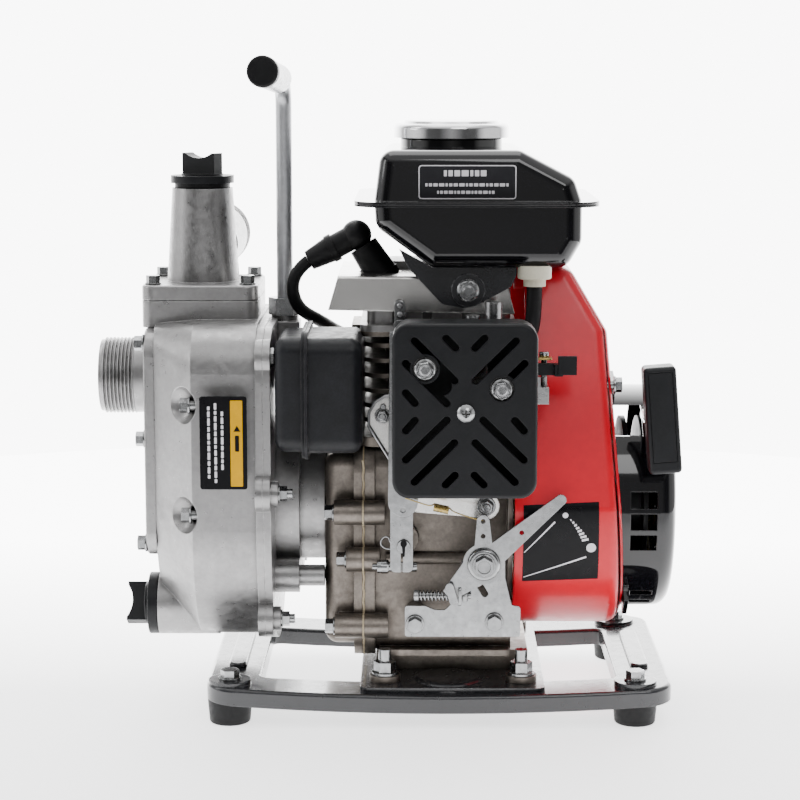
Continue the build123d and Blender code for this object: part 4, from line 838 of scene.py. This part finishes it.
def strap_and_seal():
    """The perforated strap at the head, and the line of sealant at the crankcase's joint."""
    x, y = -11.5, -57.5
    strap = rounded(x - 3.4, x + 3.4, 233, 256.4, 3.2)
    flat("head_strap", [strap], (0, y, 0), "machine", "zinc", 1.2, 0.3)
    rivet = [(1.7, 0), (1.7, 0.4), (1.1, 1.0)]
    for i in range(3):
        turned(f"head_strap_rivet_{i}", rivet, (x, y - 1.2, 253.4 - i * 5.2), FORWARDS, "machine",
               "steel", 20)
    joint = (extent("crankcase_cover")[1].x + extent("crankcase")[0].x) / 2
    front = extent("crankcase_cover")[0].y
    foot, tall, count = 43, 115, 40
    bead = []
    for i in range(count):
        z = foot + tall * i / (count - 1)
        bead.append((joint + 0.35 * sin(1.9 * i), front + 12.2 + 0.2 * sin(2.7 * i), z))
    wire("crankcase_sealant", bead, 0.7, "machine", "gasket")


def choke_details():
    """The brass plate and the screw over the choke's post."""
    x, y, top = 74.5, -78.0, 225
    plate = rounded(x - 5.5, x + 4.5, y - 4.5, y + 4.5, 1.5)
    flat("choke_plate", [plate], (0, 0, top), "machine", "spring_brass", 1.4, 0.2, way=TOP)
    turned("choke_post", [(1.9, 0), (1.9, 17)], (x, y, top - 18), UPWARDS, "machine", "zinc", 20)
    head = [(2.7, 0), (3.0, 0.5), (3.0, 2.6), (2.3, 3.2)]
    turned("choke_screw", head, (x, y, top), UPWARDS, "machine", "zinc", 24)


def lever_tab():
    """The bent tab at the end of the throttle lever's lower arm."""
    face = extent("throttle_lever")[0].y - 0.05
    pivot = Vector(JOINTS["throttle_turn"]["pos_m"]) / MM - ORIGIN
    reach, angle = 26, radians(222)
    x, z = pivot.x + reach * cos(angle), pivot.z + reach * sin(angle)
    tab = bar(x - 1, z + 4, x + 1.4, z - 4.6, 2.6)
    flat("throttle_lever_tab", [tab], (0, face, 0), "throttle", "zinc", 1.6, 0.3)


support_arm()
side_bracket()
governor_details()
governor_spring()
idle_screw()
lever_tab()
strap_and_seal()
choke_details()
cover_nuts()


# ---- studio ----------------------------------------------------------------------------


FLOOR_RADIUS = 0.95         # metres
# how the floor glows from front to back: (y in metres, glow), dim in front, where upright faces mirror it
FLOOR_GLOW = ((-0.5, 0.1), (-0.22, 1.7), (0.0, 1.9), (0.45, 8.0))
# how bright the room is from one side to the other on the camera's side: (x of the direction, brightness)
ROOM_ACROSS = ((0.0, 0.42), (0.42, 0.09), (0.78, 0.12), (0.94, 1.2))
# the same from the front to the back, and from the middle to the top
ROOM_BACK = ((0.4, 0.0), (0.92, 9.0))
ROOM_TOP = ((0.35, 0.0), (0.75, 1.3))


def joined(tree, a, b, how):
    """Two sockets joined by a sum or the like."""
    node = tree.nodes.new("ShaderNodeMath")
    node.operation = how
    tree.links.new(a, node.inputs[0])
    tree.links.new(b, node.inputs[1])
    return node.outputs[0]


def ramp(tree, value, stops):
    """A line through the stops, each a place and a brightness, read at a socket's value."""
    total = None
    for (x0, b0), (x1, b1) in zip(stops, stops[1:]):
        node = tree.nodes.new("ShaderNodeMapRange")
        start = b0 if total is None else 0.0
        for socket, number in zip(RANGE_SOCKETS, (x0, x1, start, start + b1 - b0)):
            node.inputs[socket].default_value = number
        tree.links.new(value, node.inputs["Value"])
        part = node.outputs["Result"]
        total = part if total is None else joined(tree, total, part, "ADD")
    return total


def studio_surface():
    """A pale floor with a light of its own, as on a light table."""
    surface = finish("studio_floor", (0.86, 0.86, 0.87), 0.75, grain=4, depth=0.01, mottle=0.01, edge=0.1)
    tree = surface.node_tree
    place = tree.nodes.new("ShaderNodeTexCoord").outputs["Object"]
    split = tree.nodes.new("ShaderNodeSeparateXYZ")
    tree.links.new(place, split.inputs[0])
    shader = tree.nodes["Principled BSDF"].inputs
    shader["Emission Color"].default_value = (1, 1, 1, 1)
    tree.links.new(ramp(tree, split.outputs["Y"], FLOOR_GLOW), shader["Emission Strength"])
    return surface


def make_floor():
    """A round pale floor."""
    mesh = bpy.data.meshes.new("studio_floor")
    rim = [(x * MM, y * MM, 0) for x, y in circle(0, 0, FLOOR_RADIUS / MM, 96)]
    mesh.from_pydata(rim, [], [tuple(range(len(rim)))])
    floor = bpy.data.objects.new("studio_floor", mesh)
    bpy.context.scene.collection.objects.link(floor)
    mesh.materials.append(studio_surface())


def make_world():
    """A white room, darker on the camera's side so that gloss has something to show."""
    world = bpy.data.worlds.new("studio")
    bpy.context.scene.world = world
    world.use_nodes = True
    tree = world.node_tree
    place = tree.nodes.new("ShaderNodeTexCoord").outputs["Generated"]
    split = tree.nodes.new("ShaderNodeSeparateXYZ")
    tree.links.new(place, split.inputs[0])
    aside = tree.nodes.new("ShaderNodeMath")
    aside.operation = "ABSOLUTE"
    tree.links.new(split.outputs["X"], aside.inputs[0])
    glow = ramp(tree, aside.outputs[0], ROOM_ACROSS)
    for axis, stops in (("Y", ROOM_BACK), ("Z", ROOM_TOP)):
        glow = joined(tree, glow, ramp(tree, split.outputs[axis], stops), "MAXIMUM")
    background = tree.nodes["Background"].inputs
    tree.links.new(glow, background["Color"])
    background["Strength"].default_value = 1.0


LIGHTS_AIM = (0, 0, 0.2)
# name, place and size in metres, watts
LIGHTS = (("key", (0.5, -1.5, 1.5), (0.9, 0.7), 9), ("left", (-1.4, -0.25, 0.9), (0.4, 1.0), 5),
          ("top", (0.0, 0.2, 1.6), (1.2, 0.8), 9))


def soft_light(name, where, size, watts):
    """An area light that faces the machine."""
    light = bpy.data.lights.new(name, "AREA")
    light.shape = "RECTANGLE"
    light.size, light.size_y = size
    light.energy = watts
    lamp = bpy.data.objects.new(name, light)
    bpy.context.scene.collection.objects.link(lamp)
    lamp.location = where
    lamp.rotation_euler = (Vector(LIGHTS_AIM) - Vector(where)).to_track_quat("-Z", "Y").to_euler()


CAMERA_PLACE = (0, -1375, 396.5)    # mm, in the working axes
CAMERA_DOWN = 8.658                 # degrees below the level
CAMERA_LEFT = 0.495                 # degrees


def make_camera():
    """The photo's view: from the front, a little from above, with a long lens."""
    camera = bpy.data.cameras.new("camera")
    camera.lens = 99
    camera.sensor_width = 36
    viewer = bpy.data.objects.new("camera", camera)
    bpy.context.scene.collection.objects.link(viewer)
    viewer.location = at(*CAMERA_PLACE)
    viewer.rotation_euler = (radians(90 - CAMERA_DOWN), 0, radians(CAMERA_LEFT))
    bpy.context.scene.camera = viewer


make_floor()
make_world()
for lamp in LIGHTS:
    soft_light(*lamp)
make_camera()
